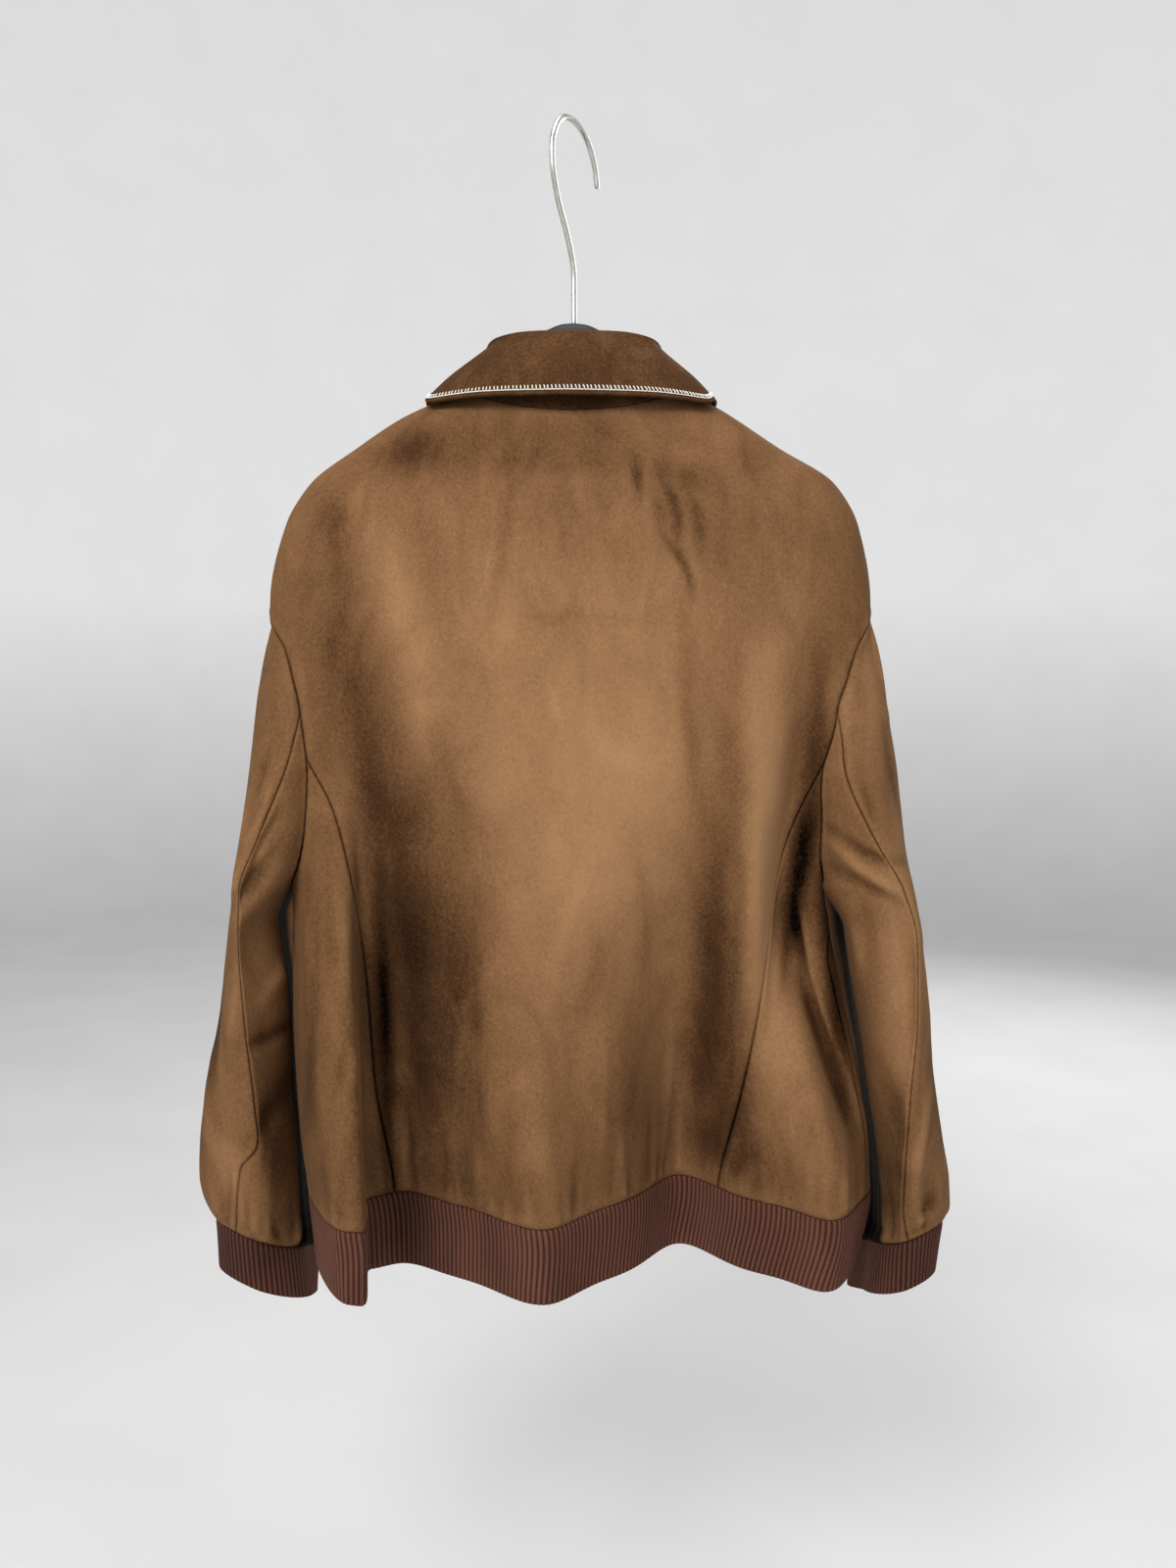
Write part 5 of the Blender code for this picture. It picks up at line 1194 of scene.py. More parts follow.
def dress(panel, creases_back, creases_front, nap_and_shade_back, nap_and_shade_front, gather, spill=0.0):
    """Move a panel's points for its creases, gathers and seams, and brush its nap, with painted shade and
    light.

    gather is the height and reach of the gathers; spill takes the back's strokes further round."""
    far = panel.lengths()
    x = panel.p[..., 0]
    z = panel.p[..., 2]
    back = ramp((panel.n[..., 1] + spill) / FACE_BLEND)
    front = ramp(-(panel.n[..., 1] + spill) / FACE_BLEND)
    move = MM * (strokes(x, z, creases_back) * back + strokes(x, z, creases_front) * front)
    move = move + gathers(far["f"][-1:] + 0 * far["f"], far["b"], *gather)
    seam = np.full(x.shape, 1.0)
    for mark in panel.seams:
        seam = np.minimum(seam, far[mark])
    run = panel.p.sum(axis=-1)
    pucker = PUCKER * np.sin(2 * np.pi * run / PUCKER_LENGTH) * np.exp(-seam / PUCKER_REACH)
    swell = SWELL * np.exp(-((seam - SWELL_AT) / SWELL_WIDTH) ** 2)
    groove = GROOVE * np.exp(-(seam / GROOVE_WIDTH) ** 2)
    move = move * ramp(seam / CREASE_CLEAR) + swell + pucker - groove
    panel.p = panel.p + panel.n * move[..., None]
    # painted light and shade: the strokes' marks, and a nap value lighter where the cloth is raised and
    # darker in troughs
    nap = strokes(x, z, nap_and_shade_back) * back + strokes(x, z, nap_and_shade_front) * front
    panel.extra["nap"] = nap + np.clip(PAINTED_RELIEF_LIGHT * move, *PAINTED_RELIEF_LIMITS)
    panel.extra["seam"] = np.exp(-(seam / SEAM_WIDTH) ** 2)


def shade_inside(panel):
    """Painted shade: a darker nap value in the deep gap between a sleeve and the body's side."""
    x, y, z = panel.p.transpose(2, 0, 1)
    side = np.sign(x.mean())
    inward = -side if "sleeve" in panel.name else side
    # painted shade: the nap value is lowered where the sleeve and the body's side face each other deep in
    # the gap
    gap_shade = ramp((panel.n[..., 0] * inward - 0.50) / 0.30) * ramp((SHADE_GAP_TOP - z) / 0.03 + 1.0)
    gap_shade = gap_shade * ramp((SHADE_GAP_BACK - y) / 0.016) * ramp((y - SHADE_GAP_FRONT) / 0.030)
    panel.extra["nap"] = panel.extra["nap"] - gap_shade


def tilt_cuff(p, sleeve):
    """Let the body side of a sleeve's end hang lower than its outer side."""
    ends = sleeve.point(np.linspace(0.0, 2 * np.pi, 91), CUFF_SEAM)
    middle = (ends.max(axis=0) + ends.min(axis=0)) / 2
    inward = sleeve.side * (middle[0] - p[..., 0])
    behind = p[..., 1] - middle[1]
    drop = CUFF_DROP + CUFF_TILT * inward - CUFF_TURN * behind
    moved = p.copy()
    moved[..., 2] -= drop * ramp((CUFF_TILT_TOP - p[..., 2]) / (CUFF_TILT_TOP - CUFF_SEAM))
    return moved


def mesh_object(name, verts, quads, materials, index=None, extra=None):
    """Smooth-shaded mesh from arrays of points and four-sided faces."""
    mesh = bpy.data.meshes.new(name)
    mesh.vertices.add(len(verts))
    mesh.vertices.foreach_set("co", np.asarray(verts, np.float32).ravel())
    quads = np.asarray(quads, np.int32)
    mesh.loops.add(quads.size)
    mesh.loops.foreach_set("vertex_index", quads.ravel())
    mesh.polygons.add(len(quads))
    mesh.polygons.foreach_set("loop_start", np.arange(0, quads.size, quads.shape[1], dtype=np.int32))
    for material in materials:
        mesh.materials.append(material)
    if index is not None:
        mesh.polygons.foreach_set("material_index", np.asarray(index, np.int32))
    mesh.update(calc_edges=True)
    mesh.validate()
    mesh.polygons.foreach_set("use_smooth", np.ones(len(mesh.polygons), bool))
    for key, values in (extra or {}).items():
        layer = mesh.attributes.new(key, "FLOAT", "POINT")
        layer.data.foreach_set("value", np.asarray(values, np.float32).ravel())
    obj = bpy.data.objects.new(name, mesh)
    bpy.context.scene.collection.objects.link(obj)
    return obj


def shell(panel, outside, inside):
    """Closed wall: the panel's points, and the same points one wall further in."""
    rows, cols = panel.p.shape[:2]
    outer = panel.p.reshape(-1, 3)
    inner = (panel.p - panel.n * panel.wall).reshape(-1, 3)
    ids = numbered(panel.p)
    step = ids.size
    front = grid_faces(ids)[:, TURNED]
    rear = front[:, ::-1] + step
    ring = np.concatenate([ids[0, :], ids[1:, -1], ids[-1, -2::-1], ids[-2:0:-1, 0]])
    after = np.roll(ring, -1)
    rim = np.stack([ring, after, after + step, ring + step], axis=-1)
    along = panel.p[0, cols // 2] - panel.p[-1, cols // 2]
    side = panel.p[rows // 2, -1] - panel.p[rows // 2, 0]
    flip = np.dot(np.cross(side, along), panel.n[rows // 2, cols // 2]) < 0
    quads = np.concatenate([front, rear, rim])
    if flip:
        quads = quads[:, ::-1]
    index = np.concatenate([np.zeros(len(front)), np.ones(len(rear)), np.zeros(len(rim))])
    extra = {key: np.concatenate([v.ravel(), v.ravel()]) for key, v in panel.extra.items()}
    points = np.concatenate([outer, inner])
    return mesh_object(panel.name, points, quads, [outside, inside], index, extra)


# ribbed bands: points round a rib, rows down the band, radius of the turned lower edge, angles
# round that edge, shares of the way back up the inside, and how the seam draws the top in
RIB_SIDES = 6
RIB_ROWS = 22
RIB_EDGE = 0.0012
RIB_TURNS = (0.35, 0.75, 1.2, 1.6, 2.0)
RIB_INSIDE = (0.96, 0.7, 0.35, 0.0)
RIB_PULL = 0.0007
RIB_PULL_REACH = 0.0022
RIB_FLAT = 0.55
RIB_FLAT_REACH = 0.0020

# a cuff's size as a share of the sleeve's gathered end
CUFF_SHARE = np.array([0.97, 0.95, 1.0])


def rib_band(name, outline, outward, top, bottom, count, closed, material, settle=lambda p: p):
    """Knitted band: round ribs on the outside, turned over its lower edge to a plain inside.

    outline(u, z) and outward(u, z) give the wall's outer points and directions."""
    total = count * RIB_SIDES + (0 if closed else 1)
    u = np.arange(total) / (count * RIB_SIDES)
    phase = (np.arange(total) % RIB_SIDES) / RIB_SIDES
    ridge = np.abs(np.sin(np.pi * phase)) ** 0.8
    height = top - bottom
    rows = []
    marks = []
    for v in np.linspace(0.0, 1.0, RIB_ROWS):
        z = top + (bottom + RIB_EDGE - top) * v
        pull = -RIB_PULL * np.exp(-(v * height / RIB_PULL_REACH) ** 2)
        flat = 1 - RIB_FLAT * np.exp(-(v * height / RIB_FLAT_REACH) ** 2)
        rise = RIB_RISE * ridge * flat + pull
        rows.append(outline(u, z) + outward(u, z) * rise[:, None])
        marks.append(v * height)
    n = outward(u, bottom)
    edge = outline(u, bottom)
    for turn in RIB_TURNS:
        depth = -RIB_EDGE * (1 - math.cos(turn))
        low = np.array([0.0, 0.0, RIB_EDGE * (1 - math.sin(min(turn, math.pi - turn)))])
        rise = RIB_RISE * ridge * max(0.0, math.cos(turn / 1.6)) + depth
        rows.append(edge + n * rise[:, None] + low)
        marks.append(height + 0.0008 * turn)
    for v in RIB_INSIDE:
        z = top + (bottom - top) * v
        rows.append(outline(u, z) - outward(u, z) * RIB_WALL)
        marks.append(height * (2 - v))
    p = settle(np.stack(rows))
    ids = numbered(p)
    ring = np.concatenate([ids, ids[:1]], axis=0)
    quads = grid_faces(ring, closed)[:, TURNED]
    if not closed:
        quads = np.concatenate([quads, end_caps(ids)])
    shape = p.shape[:2]
    # painted shade from SHADE_RIB on the hem and cuffs; the rib profile paints the furrows between ribs
    # darker
    extra = {"shade": strokes(p[..., 0], p[..., 2], SHADE_RIB) * ramp(p[..., 1] / 0.02),
             "rib": np.broadcast_to(ridge[None], shape),
             "side": np.broadcast_to((phase - 0.5)[None], shape),
             "course": np.broadcast_to(np.array(marks)[:, None], shape)}
    return fix_normals(mesh_object(name, p.reshape(-1, 3), quads, [material], None, extra))


def end_caps(ids):
    """Faces that close an open band's two ends, from its outside across to its inside."""
    caps = []
    for col, flip in ((0, 1), (ids.shape[1] - 1, -1)):
        left = 0
        right = ids.shape[0] - 1
        while right - left > 1:
            four = [ids[left, col], ids[right, col], ids[right - 1, col], ids[left + 1, col]]
            if left + 1 != right - 1:
                caps.append(four[::flip])
            left += 1
            right -= 1
    return np.array(caps)


def corners(mesh):
    """The three corners of each of a mesh's triangles."""
    v = np.empty(len(mesh.vertices) * 3)
    mesh.vertices.foreach_get("co", v)
    mesh.calc_loop_triangles()
    t = np.empty(len(mesh.loop_triangles) * 3, int)
    mesh.loop_triangles.foreach_get("vertices", t)
    return v.reshape(-1, 3)[t.reshape(-1, 3)].transpose(1, 0, 2)


def fix_normals(obj):
    """Turn a closed mesh's faces outward."""
    a, b, c = corners(obj.data)
    if np.einsum("ij,ij->", a, np.cross(b, c)) < 0:
        obj.data.flip_normals()
    return obj


def hem_band(body, material):
    """Band below the hem seam, from one side of the front opening round to the other."""

    def angles(u, z):
        t = np.linspace(float(body.opening(1, z)), float(body.opening(-1, z)), 2401)
        run = run_along(body.point(t, z))
        return np.interp(u * run[-1], run, t)

    def outline(u, z):
        p = body.point(angles(u, z), z + 0 * u)
        p[0, 0] = OPENING_HALF
        p[-1, 0] = -OPENING_HALF
        return p

    def outward(u, z):
        n = body.normal(angles(u, z), z + 0 * u)
        n[:, 2] = 0.0
        n[0] = (0.0, -1.0, 0.0)
        n[-1] = (0.0, -1.0, 0.0)
        return unit(n)

    return rib_band("knit_hem", outline, outward, HEM_SEAM, HEM_EDGE, HEM_RIBS, False, material)


def cuff_point(sleeve, a, z):
    """The cuff stands a little inside the sleeve's gathered end."""
    full = sleeve.point(np.linspace(0.0, 2 * np.pi, 181), float(np.mean(z)))
    centre = (full.max(axis=0) + full.min(axis=0)) / 2
    return centre + (sleeve.point(a, z) - centre) * CUFF_SHARE


def cuff_band(sleeve, material):
    """Band round a sleeve's end."""
    dense = np.linspace(0.0, 2 * np.pi, 1201)
    run = run_along(cuff_point(sleeve, dense, CUFF_EDGE + 0 * dense))

    def outline(u, z):
        a = np.interp(u * run[-1], run, dense)
        return cuff_point(sleeve, a, z + 0 * a)

    def outward(u, z):
        a = np.interp(u * run[-1], run, dense)
        d = cuff_point(sleeve, a + 0.03, z + 0 * a) - cuff_point(sleeve, a - 0.03, z + 0 * a)
        return unit(np.stack([d[:, 1], -d[:, 0], 0 * a], axis=1) * sleeve.side)

    return rib_band(sided("knit_cuff", sleeve.side), outline, outward, CUFF_SEAM, CUFF_EDGE, CUFF_RIBS,
                    True, material, lambda p: tilt_cuff(p, sleeve))


def tube(path, radius, across_way, over_way, count):
    """Rings of points round a path, for a radius at each of its points."""
    w = 2 * np.pi * np.arange(count) / count
    spread = np.cos(w)[None, :, None] * across_way[:, None] + np.sin(w)[None, :, None] * over_way[:, None]
    return path[:, None] + radius[:, None, None] * spread


# thread: points round it, share of its radius at its ends, and a direction none of it follows
THREAD_SIDES = 6
THREAD_TIP = 0.45
THREAD_AWAY = np.array([0.123, 0.456, 0.881])


def threads(name, paths, radius, material):
    """Round threads along short paths, joined in one mesh, with pointed ends."""
    verts = []
    quads = []
    count = 0
    for path in paths:
        path = np.asarray(path, float)
        along = unit(np.gradient(path, axis=0))
        flat = unit(np.cross(along, THREAD_AWAY))
        grow = np.full(len(path), radius)
        grow[[0, -1]] = radius * THREAD_TIP
        ring = tube(path, grow, flat, np.cross(along, flat), THREAD_SIDES)
        verts.append(ring.reshape(-1, 3))
        ids = count + numbered(ring)
        quads.append(grid_faces(ids, True))
        for row, turn in ((0, 1), (-1, -1)):
            six = ids[row]
            quads.append(np.array([six[[0, 1, 2, 3]], six[[3, 4, 5, 0]]])[:, ::-turn])
        count += ids.size
    return mesh_object(name, np.concatenate(verts), np.concatenate(quads), [material])


# whip stitch: spacing, lean of a bar, plain length at each end, thread radius, and its three
# lines as distance from the leaf's edge and lift off the cloth
WHIP_PITCH = 0.0029
WHIP_LEAN = 0.0011
WHIP_END = 0.004
WHIP_RADIUS = 0.00042
WHIP_LOW = (0.0030, 0.0003)
WHIP_HIGH = (0.0070, 0.0004)
WHIP_MIDDLE = (0.0050, 0.0009)
WHIP_STRAY = ((0.00022, 2.4), (0.00012, 5.1))
WHIP_SAG = 0.00035


def whip_stitch(leaf, material):
    """Slanted bars over one running line, along the collar leaf's free edge."""
    far = leaf.lengths()["b"]

    def line(height, lift):
        found = []
        for c in range(leaf.p.shape[1]):
            run = far[::-1, c]
            found.append(at_run(leaf.p[::-1, c], run, height) + lift * at_run(leaf.n[::-1, c], run, height))
        return np.array(found)

    low = line(*WHIP_LOW)
    high = line(*WHIP_HIGH)
    middle = line(*WHIP_MIDDLE)
    run = run_along(low)
    bars = []
    s = WHIP_END
    number = 0
    while s < run[-1] - WHIP_END:
        stray = sum(size * math.sin(number * rate) for size, rate in WHIP_STRAY)
        start = s + WHIP_LEAN / 2
        end = s - WHIP_LEAN / 2
        a = at_run(low, run, start + stray)
        b = at_run(middle, run, s + stray)
        c = at_run(high, run, end + stray * 0.5)
        d = at_run(high, run, end - 0.0002) + (b - a) * 0.04
        swell = b - (a + c) / 2
        bars.append([a, (a + b) / 2 + swell * 0.35, b, b * 0.4 + c * 0.6 + swell * 0.2, d])
        e = at_run(low, run, start + WHIP_PITCH * 0.98)
        m = at_run(low, run, start + WHIP_PITCH * 0.5) + unit(swell) * WHIP_SAG
        rise = (m - (a + e) / 2) * 0.4
        bars.append([a, (a + m) / 2 + rise, m, (m + e) / 2 + rise, e])
        s += WHIP_PITCH
        number += 1
    return threads("stitch_collar", bars, WHIP_RADIUS, material)


# top stitching: distance from the edge, lift, plain length at each end, points of a stitch,
# spacing and thread radius
TOP_IN = 0.0065
TOP_LIFT = 0.0002
TOP_ENDS = (0.004, 0.006)
TOP_STITCH = np.array([0.0, 0.0007, 0.0014, 0.0021])
TOP_PITCH = 0.0029
TOP_RADIUS = 0.00028


def top_stitch(panel, name, material):
    """Small even stitches beside the last edge of a panel's rows."""
    line = []
    for points, normals, run in zip(panel.p, panel.n, panel.lengths()["l"]):
        spot = at_run(points[::-1], run[::-1], TOP_IN)
        line.append(spot + TOP_LIFT * at_run(normals[::-1], run[::-1], TOP_IN))
    line = np.array(line)
    run = run_along(line)
    paths = []
    s = TOP_ENDS[0]
    while s < run[-1] - TOP_ENDS[1]:
        paths.append(at_run(line, run, s + TOP_STITCH))
        s += TOP_PITCH
    return threads(name, paths, TOP_RADIUS, material)


# zip: spacing of a row's teeth, a tooth's outline as distance from the middle and half height,
# its front and rear; across a tape, distance from the middle and depth
ZIP_PITCH = 0.0024
TOOTH = ((0.0028, 0.00055), (0.0009, 0.00055), (0.0001, 0.00085), (-0.0007, 0.0004))
TOOTH_DEPTHS = (-0.0010, 0.0008)
TOOTH_BEVEL = 0.00018
TAPE_ACROSS = np.array([0.0004, 0.0009, 0.0016, 0.0026, 0.00365])
TAPE_DEPTHS = np.array([0.0006, 0.0001, 0.0001, 0.0001, 0.0002])
TAPE_WALL = 0.0007


def zip_teeth(body, top_z, material):
    """Two rows of moulded teeth that lock."""
    verts = []
    quads = []
    z = top_z - 0.001
    number = 0
    while z > HEM_EDGE + 0.001:
        y = float(body.point(-np.pi / 2, z)[1])
        side = 1 if number % 2 else -1
        base = len(verts)
        for depth in TOOTH_DEPTHS:
            for x, half in TOOTH:
                verts.append((side * x, y + depth, z + half))
                verts.append((side * x, y + depth, z - half))
        for k in range(base, base + 6, 2):
            face = [k, k + 1, k + 3, k + 2]
            quads += [face, [v + 8 for v in face][::-1]]
            quads.append([k, k + 2, k + 10, k + 8])
            quads.append([k + 1, k + 9, k + 11, k + 3])
        quads.append([base, base + 8, base + 9, base + 1])
        quads.append([base + 6, base + 7, base + 15, base + 14])
        z -= ZIP_PITCH / 2
        number += 1
    teeth = mesh_object("zip_teeth", np.array(verts), np.array(quads), [material])
    round_edges(teeth, TOOTH_BEVEL, 1)
    return teeth


def zip_tape(body, top_z, side, material):
    """Woven tape beside one row of teeth."""
    zs = np.linspace(top_z, HEM_EDGE + 0.0005, 180)
    y = body.point(-np.pi / 2 + 0 * zs, zs)[:, 1]
    p = np.zeros((len(zs), len(TAPE_ACROSS), 3))
    p[..., 0] = side * TAPE_ACROSS
    p[..., 1] = y[:, None] + TAPE_DEPTHS
    p[..., 2] = zs[:, None]
    n = np.broadcast_to(np.array([0.0, -1.0, 0.0]), p.shape)
    return shell(Panel(sided("zip_tape", side), p, n, seams="", wall=TAPE_WALL), material, material)


def round_edges(obj, width, segments):
    bevel = obj.modifiers.new("edges", "BEVEL")
    bevel.width = width
    bevel.segments = segments


def hook(material):
    """Wire hook: a shank, an S bend and an open crown with a rounded tip."""
    rows = np.array(HOOK, float)
    run = run_along(rows)
    q = np.linspace(0.0, run[-1], 170)
    flat = smooth(run, rows, q)
    flat[0, 1] = HOOK[0][1]
    turn = np.array([math.cos(HOOK_TURN), math.sin(HOOK_TURN)])
    path = np.concatenate([flat[:, :1] * turn, flat[:, 1:]], axis=1)
    along = unit(np.gradient(path, axis=0))
    level = np.broadcast_to(np.array([-turn[1], turn[0], 0.0]), path.shape)
    tip = (run[-1] - q) / WIRE_RADIUS
    grow = WIRE_RADIUS * np.where(tip < 1, np.sqrt(np.clip(1 - (1 - tip) ** 2, 0.02, 1)), 1.0)
    ring = tube(path, grow, level, unit(np.cross(along, level)), WIRE_SIDES)
    quads = grid_faces(numbered(ring), True)
    return fix_normals(mesh_object("hook_wire", ring.reshape(-1, 3), quads, [material]))


def hanger(material):
    """Arms that carry the shoulders, swelling into a dome under the hook, with a moulding line."""
    top = curve(HANGER, 1)
    reach = HANGER[-1][0]
    xs = np.linspace(-reach, reach, 200)
    a = np.abs(xs)
    slope = (top(a + 0.002) - top(np.maximum(a - 0.002, 0.0))) / 0.004 * ramp(a / 0.008)
    tilt = unit(np.stack([-np.sign(xs) * slope, 0 * xs, 1 + 0 * xs], axis=1))
    high = curve(HANGER, 2)(a)
    tip = np.minimum((reach - a) / HANGER_TIP, 1.0)
    end = np.sqrt(np.clip(1 - (1 - tip) ** 2, 0.01, 1.0))
    centre = np.stack([xs, 0 * xs, top(a) + HANGER_TILT * xs], axis=1) - tilt * high[:, None]
    g = 2 * np.pi * np.arange(HANGER_SIDES) / HANGER_SIDES
    line = 1 + MOULD_LINE * np.exp(-((np.abs(np.sin(g)) - 1) / 0.012) ** 2)
    deep = (curve(HANGER, 3)(a) * end)[:, None] * np.sin(g) * line
    ring = centre[:, None] + tilt[:, None] * ((high * end)[:, None] * np.cos(g))[..., None]
    ring = ring + np.array([0.0, 1.0, 0.0]) * deep[..., None]
    quads = grid_faces(numbered(ring), True)
    return fix_normals(mesh_object("hanger_arms", ring.reshape(-1, 3), quads, [material]))


class Nodes:
    """A material's node tree, built call by call."""

    def __init__(self, name):
        self.material = bpy.data.materials.new(name)
        self.material.use_nodes = True
        self.tree = self.material.node_tree
        self.shader = self.tree.nodes["Principled BSDF"]
        self.coords = self.tree.nodes.new("ShaderNodeTexCoord").outputs["Object"]

    def set(self, **values):
        for key, value in values.items():
            self.shader.inputs[key.replace("_", " ")].default_value = value

    def link(self, source, target):
        self.tree.links.new(source, target)

    def drive(self, **sources):
        """Feed the shader's named inputs from node outputs."""
        for key, source in sources.items():
            self.link(source, self.shader.inputs[key.replace("_", " ")])

    def value(self, name):
        node = self.tree.nodes.new("ShaderNodeAttribute")
        node.attribute_name = name
        return node.outputs["Fac"]

    def noise(self, scale, detail=2.0, stretch=(1.0, 1.0, 1.0), twist=0.0, rough=0.5):
        place = self.tree.nodes.new("ShaderNodeMapping")
        place.inputs["Scale"].default_value = stretch
        self.link(self.coords, place.inputs["Vector"])
        node = self.tree.nodes.new("ShaderNodeTexNoise")
        values = {"Scale": scale, "Detail": detail, "Distortion": twist, "Roughness": rough}
        for key, number in values.items():
            node.inputs[key].default_value = number
        self.link(place.outputs["Vector"], node.inputs["Vector"])
        return node.outputs["Fac"]

    def math(self, operation, *terms):
        node = self.tree.nodes.new("ShaderNodeMath")
        node.operation = operation
        for k, term in enumerate(terms):
            if isinstance(term, (int, float)):
                node.inputs[k].default_value = term
            else:
                self.link(term, node.inputs[k])
        return node.outputs[0]

    def add(self, first, *more):
        for term in more:
            first = self.math("ADD", first, term)
        return first

    def times(self, source, factor):
        return self.math("MULTIPLY", source, factor)

    def about(self, source, size):
        """A noise as a signed value round nothing."""
        return self.times(self.math("SUBTRACT", source, 0.5), size)

    def ramp(self, source, *stops):
        node = self.tree.nodes.new("ShaderNodeValToRGB")
        while len(node.color_ramp.elements) < len(stops):
            node.color_ramp.elements.new(0.5)
        for element, (place, colour) in zip(node.color_ramp.elements, stops):
            element.position = place
            element.color = (*colour, 1.0)
        self.link(source, node.inputs["Fac"])
        return node.outputs["Color"]

    def bump(self, source, strength, distance, under=None):
        node = self.tree.nodes.new("ShaderNodeBump")
        node.inputs["Strength"].default_value = strength
        node.inputs["Distance"].default_value = distance
        self.link(source, node.inputs["Height"])
        if under is not None:
            self.link(under, node.inputs["Normal"])
        return node.outputs["Normal"]


def suede():
    """Napped suede: brushed light and dark, in marks of several sizes, over fine fibre, with the painted
    shade and light of the points' nap value.
    """
    m = Nodes("suede")
    nap = m.value("nap")
    seam = m.value("seam")
    large = m.about(m.noise(6.0, 2.0, (1.0, 1.0, 0.60), 0.5), 0.24)
    brushed = m.about(m.noise(26.0, 3.0, (1.0, 1.0, 0.45), 1.6), 0.26)
    mottle = m.about(m.noise(430.0, 3.0, (1.0, 1.0, 0.8), 0.3, 0.6), 0.26)
    fibre = m.about(m.noise(1500.0, 2.0, (1.0, 1.0, 0.45)), 0.30)
    # painted shade and light come in with the points' nap value
    total = m.add(m.times(nap, 0.75), 0.47, large, brushed, mottle, fibre)
    total = m.math("SUBTRACT", total, m.times(seam, 0.22))
    colour = m.ramp(total, (0.00, (0.002, 0.0010, 0.0006)), (0.08, (0.022, 0.0095, 0.0040)),
                    (0.25, (0.060, 0.0270, 0.0110)), (0.50, (0.170, 0.0850, 0.0375)),
                    (0.75, (0.290, 0.1550, 0.0720)), (1.00, (0.390, 0.2200, 0.1080)))
    soft = m.bump(m.noise(170.0, 3.0, (1.0, 1.0, 0.6), 0.6), 0.35, 0.0006)
    fine = m.bump(m.noise(1300.0, 2.0), 0.35, 0.00025, soft)
    m.drive(Base_Color=colour, Roughness=m.add(0.86, m.times(mottle, 0.5)), Normal=fine)
    m.set(Specular_IOR_Level=0.02, Sheen_Weight=0.025, Sheen_Roughness=0.40,
          Sheen_Tint=(0.85, 0.62, 0.42, 1.0))
    return m.material


def backing():
    """The cloth's inside: a plain dull twill."""
    m = Nodes("suede_inside")
    grain = m.noise(900.0, 2.0, (1.0, 1.0, 0.5))
    colour = m.ramp(grain, (0.25, (0.050, 0.026, 0.014)), (0.75, (0.085, 0.046, 0.026)))
    m.drive(Base_Color=colour, Normal=m.bump(grain, 0.3, 0.0003))
    m.set(Roughness=0.85, Specular_IOR_Level=0.2)
    return m.material


def knit():
    """Ribbed wool knit: raised ribs of small slanted stitches, with painted shade in the furrows between
    them.
    """
    m = Nodes("rib_knit")
    rib = m.value("rib")
    side = m.value("side")
    course = m.value("course")
    slant = m.times(m.math("ABSOLUTE", side), 2.2)
    turns = m.add(m.times(course, 1.0 / STITCH_HEIGHT), slant)
    stitch = m.math("SINE", m.times(turns, 2 * math.pi))
    fuzz = m.noise(1100.0, 3.0)
    patch = m.noise(26.0, 3.0, (1.0, 1.0, 0.5), 0.6)
    # painted shade and light: the rib profile makes the furrows darker and the ridges lighter
    total = m.add(m.times(rib, 0.56), m.times(stitch, 0.055), m.about(fuzz, 0.34), m.about(patch, 0.30),
                  m.add(m.value("shade"), 0.09))
    colour = m.ramp(total, (0.00, (0.012, 0.0038, 0.0022)), (0.35, (0.058, 0.0196, 0.0116)),
                    (0.65, (0.125, 0.0490, 0.0310)), (1.00, (0.235, 0.1060, 0.0710)))
    height = m.add(m.times(stitch, 0.5), m.times(fuzz, 0.8))
    m.drive(Base_Color=colour, Normal=m.bump(height, 0.55, 0.0003))
    m.set(Roughness=0.92, Specular_IOR_Level=0.12, Sheen_Weight=0.08, Sheen_Roughness=0.5,
          Sheen_Tint=(0.80, 0.55, 0.46, 1.0))
    return m.material


def thread(name, light, dark):
    """Twisted sewing thread."""
    m = Nodes(name)
    twist = m.noise(1900.0, 2.0, (1.0, 1.0, 1.0), 0.6)
    m.drive(Base_Color=m.ramp(twist, (0.2, dark), (0.7, light)), Normal=m.bump(twist, 0.4, 0.0002))
    m.set(Roughness=0.62, Sheen_Weight=0.15)
    return m.material


def metal(name, colour, rough, scale):
    """Drawn or pressed metal, a little worn."""
    m = Nodes(name)
    grain = m.noise(scale, 3.0, (1.0, 1.0, 0.12))
    worn = m.noise(140.0, 3.0)
    tone = m.add(m.times(grain, 0.5), m.times(worn, 0.5))
    dark = tuple(0.72 * c for c in colour)
    m.drive(Base_Color=m.ramp(tone, (0.3, dark), (0.6, colour)),
            Roughness=m.add(rough - 0.08, m.times(worn, 0.16)), Normal=m.bump(grain, 0.12, 0.0001))
    m.set(Metallic=1.0)
    return m.material


def plastic():
    """Moulded hanger plastic, blue black and half matt."""
    m = Nodes("hanger_plastic")
    grain = m.noise(2400.0, 2.0)
    worn = m.noise(60.0, 4.0)
    colour = m.ramp(worn, (0.3, (0.004, 0.006, 0.009)), (0.8, (0.008, 0.012, 0.017)))
    m.drive(Base_Color=colour, Roughness=m.add(0.34, m.times(worn, 0.20)),
            Normal=m.bump(grain, 0.10, 0.0001))
    m.set(Specular_IOR_Level=0.30)
    return m.material


def woven():
    """Zip tape's weave."""
    m = Nodes("zip_tape_weave")
    weave = m.noise(1500.0, 1.0, (1.0, 1.0, 0.6))
    colour = m.ramp(weave, (0.3, (0.020, 0.011, 0.007)), (0.7, (0.055, 0.032, 0.021)))
    m.drive(Base_Color=colour, Normal=m.bump(weave, 0.4, 0.0002))
    m.set(Roughness=0.8)
    return m.material


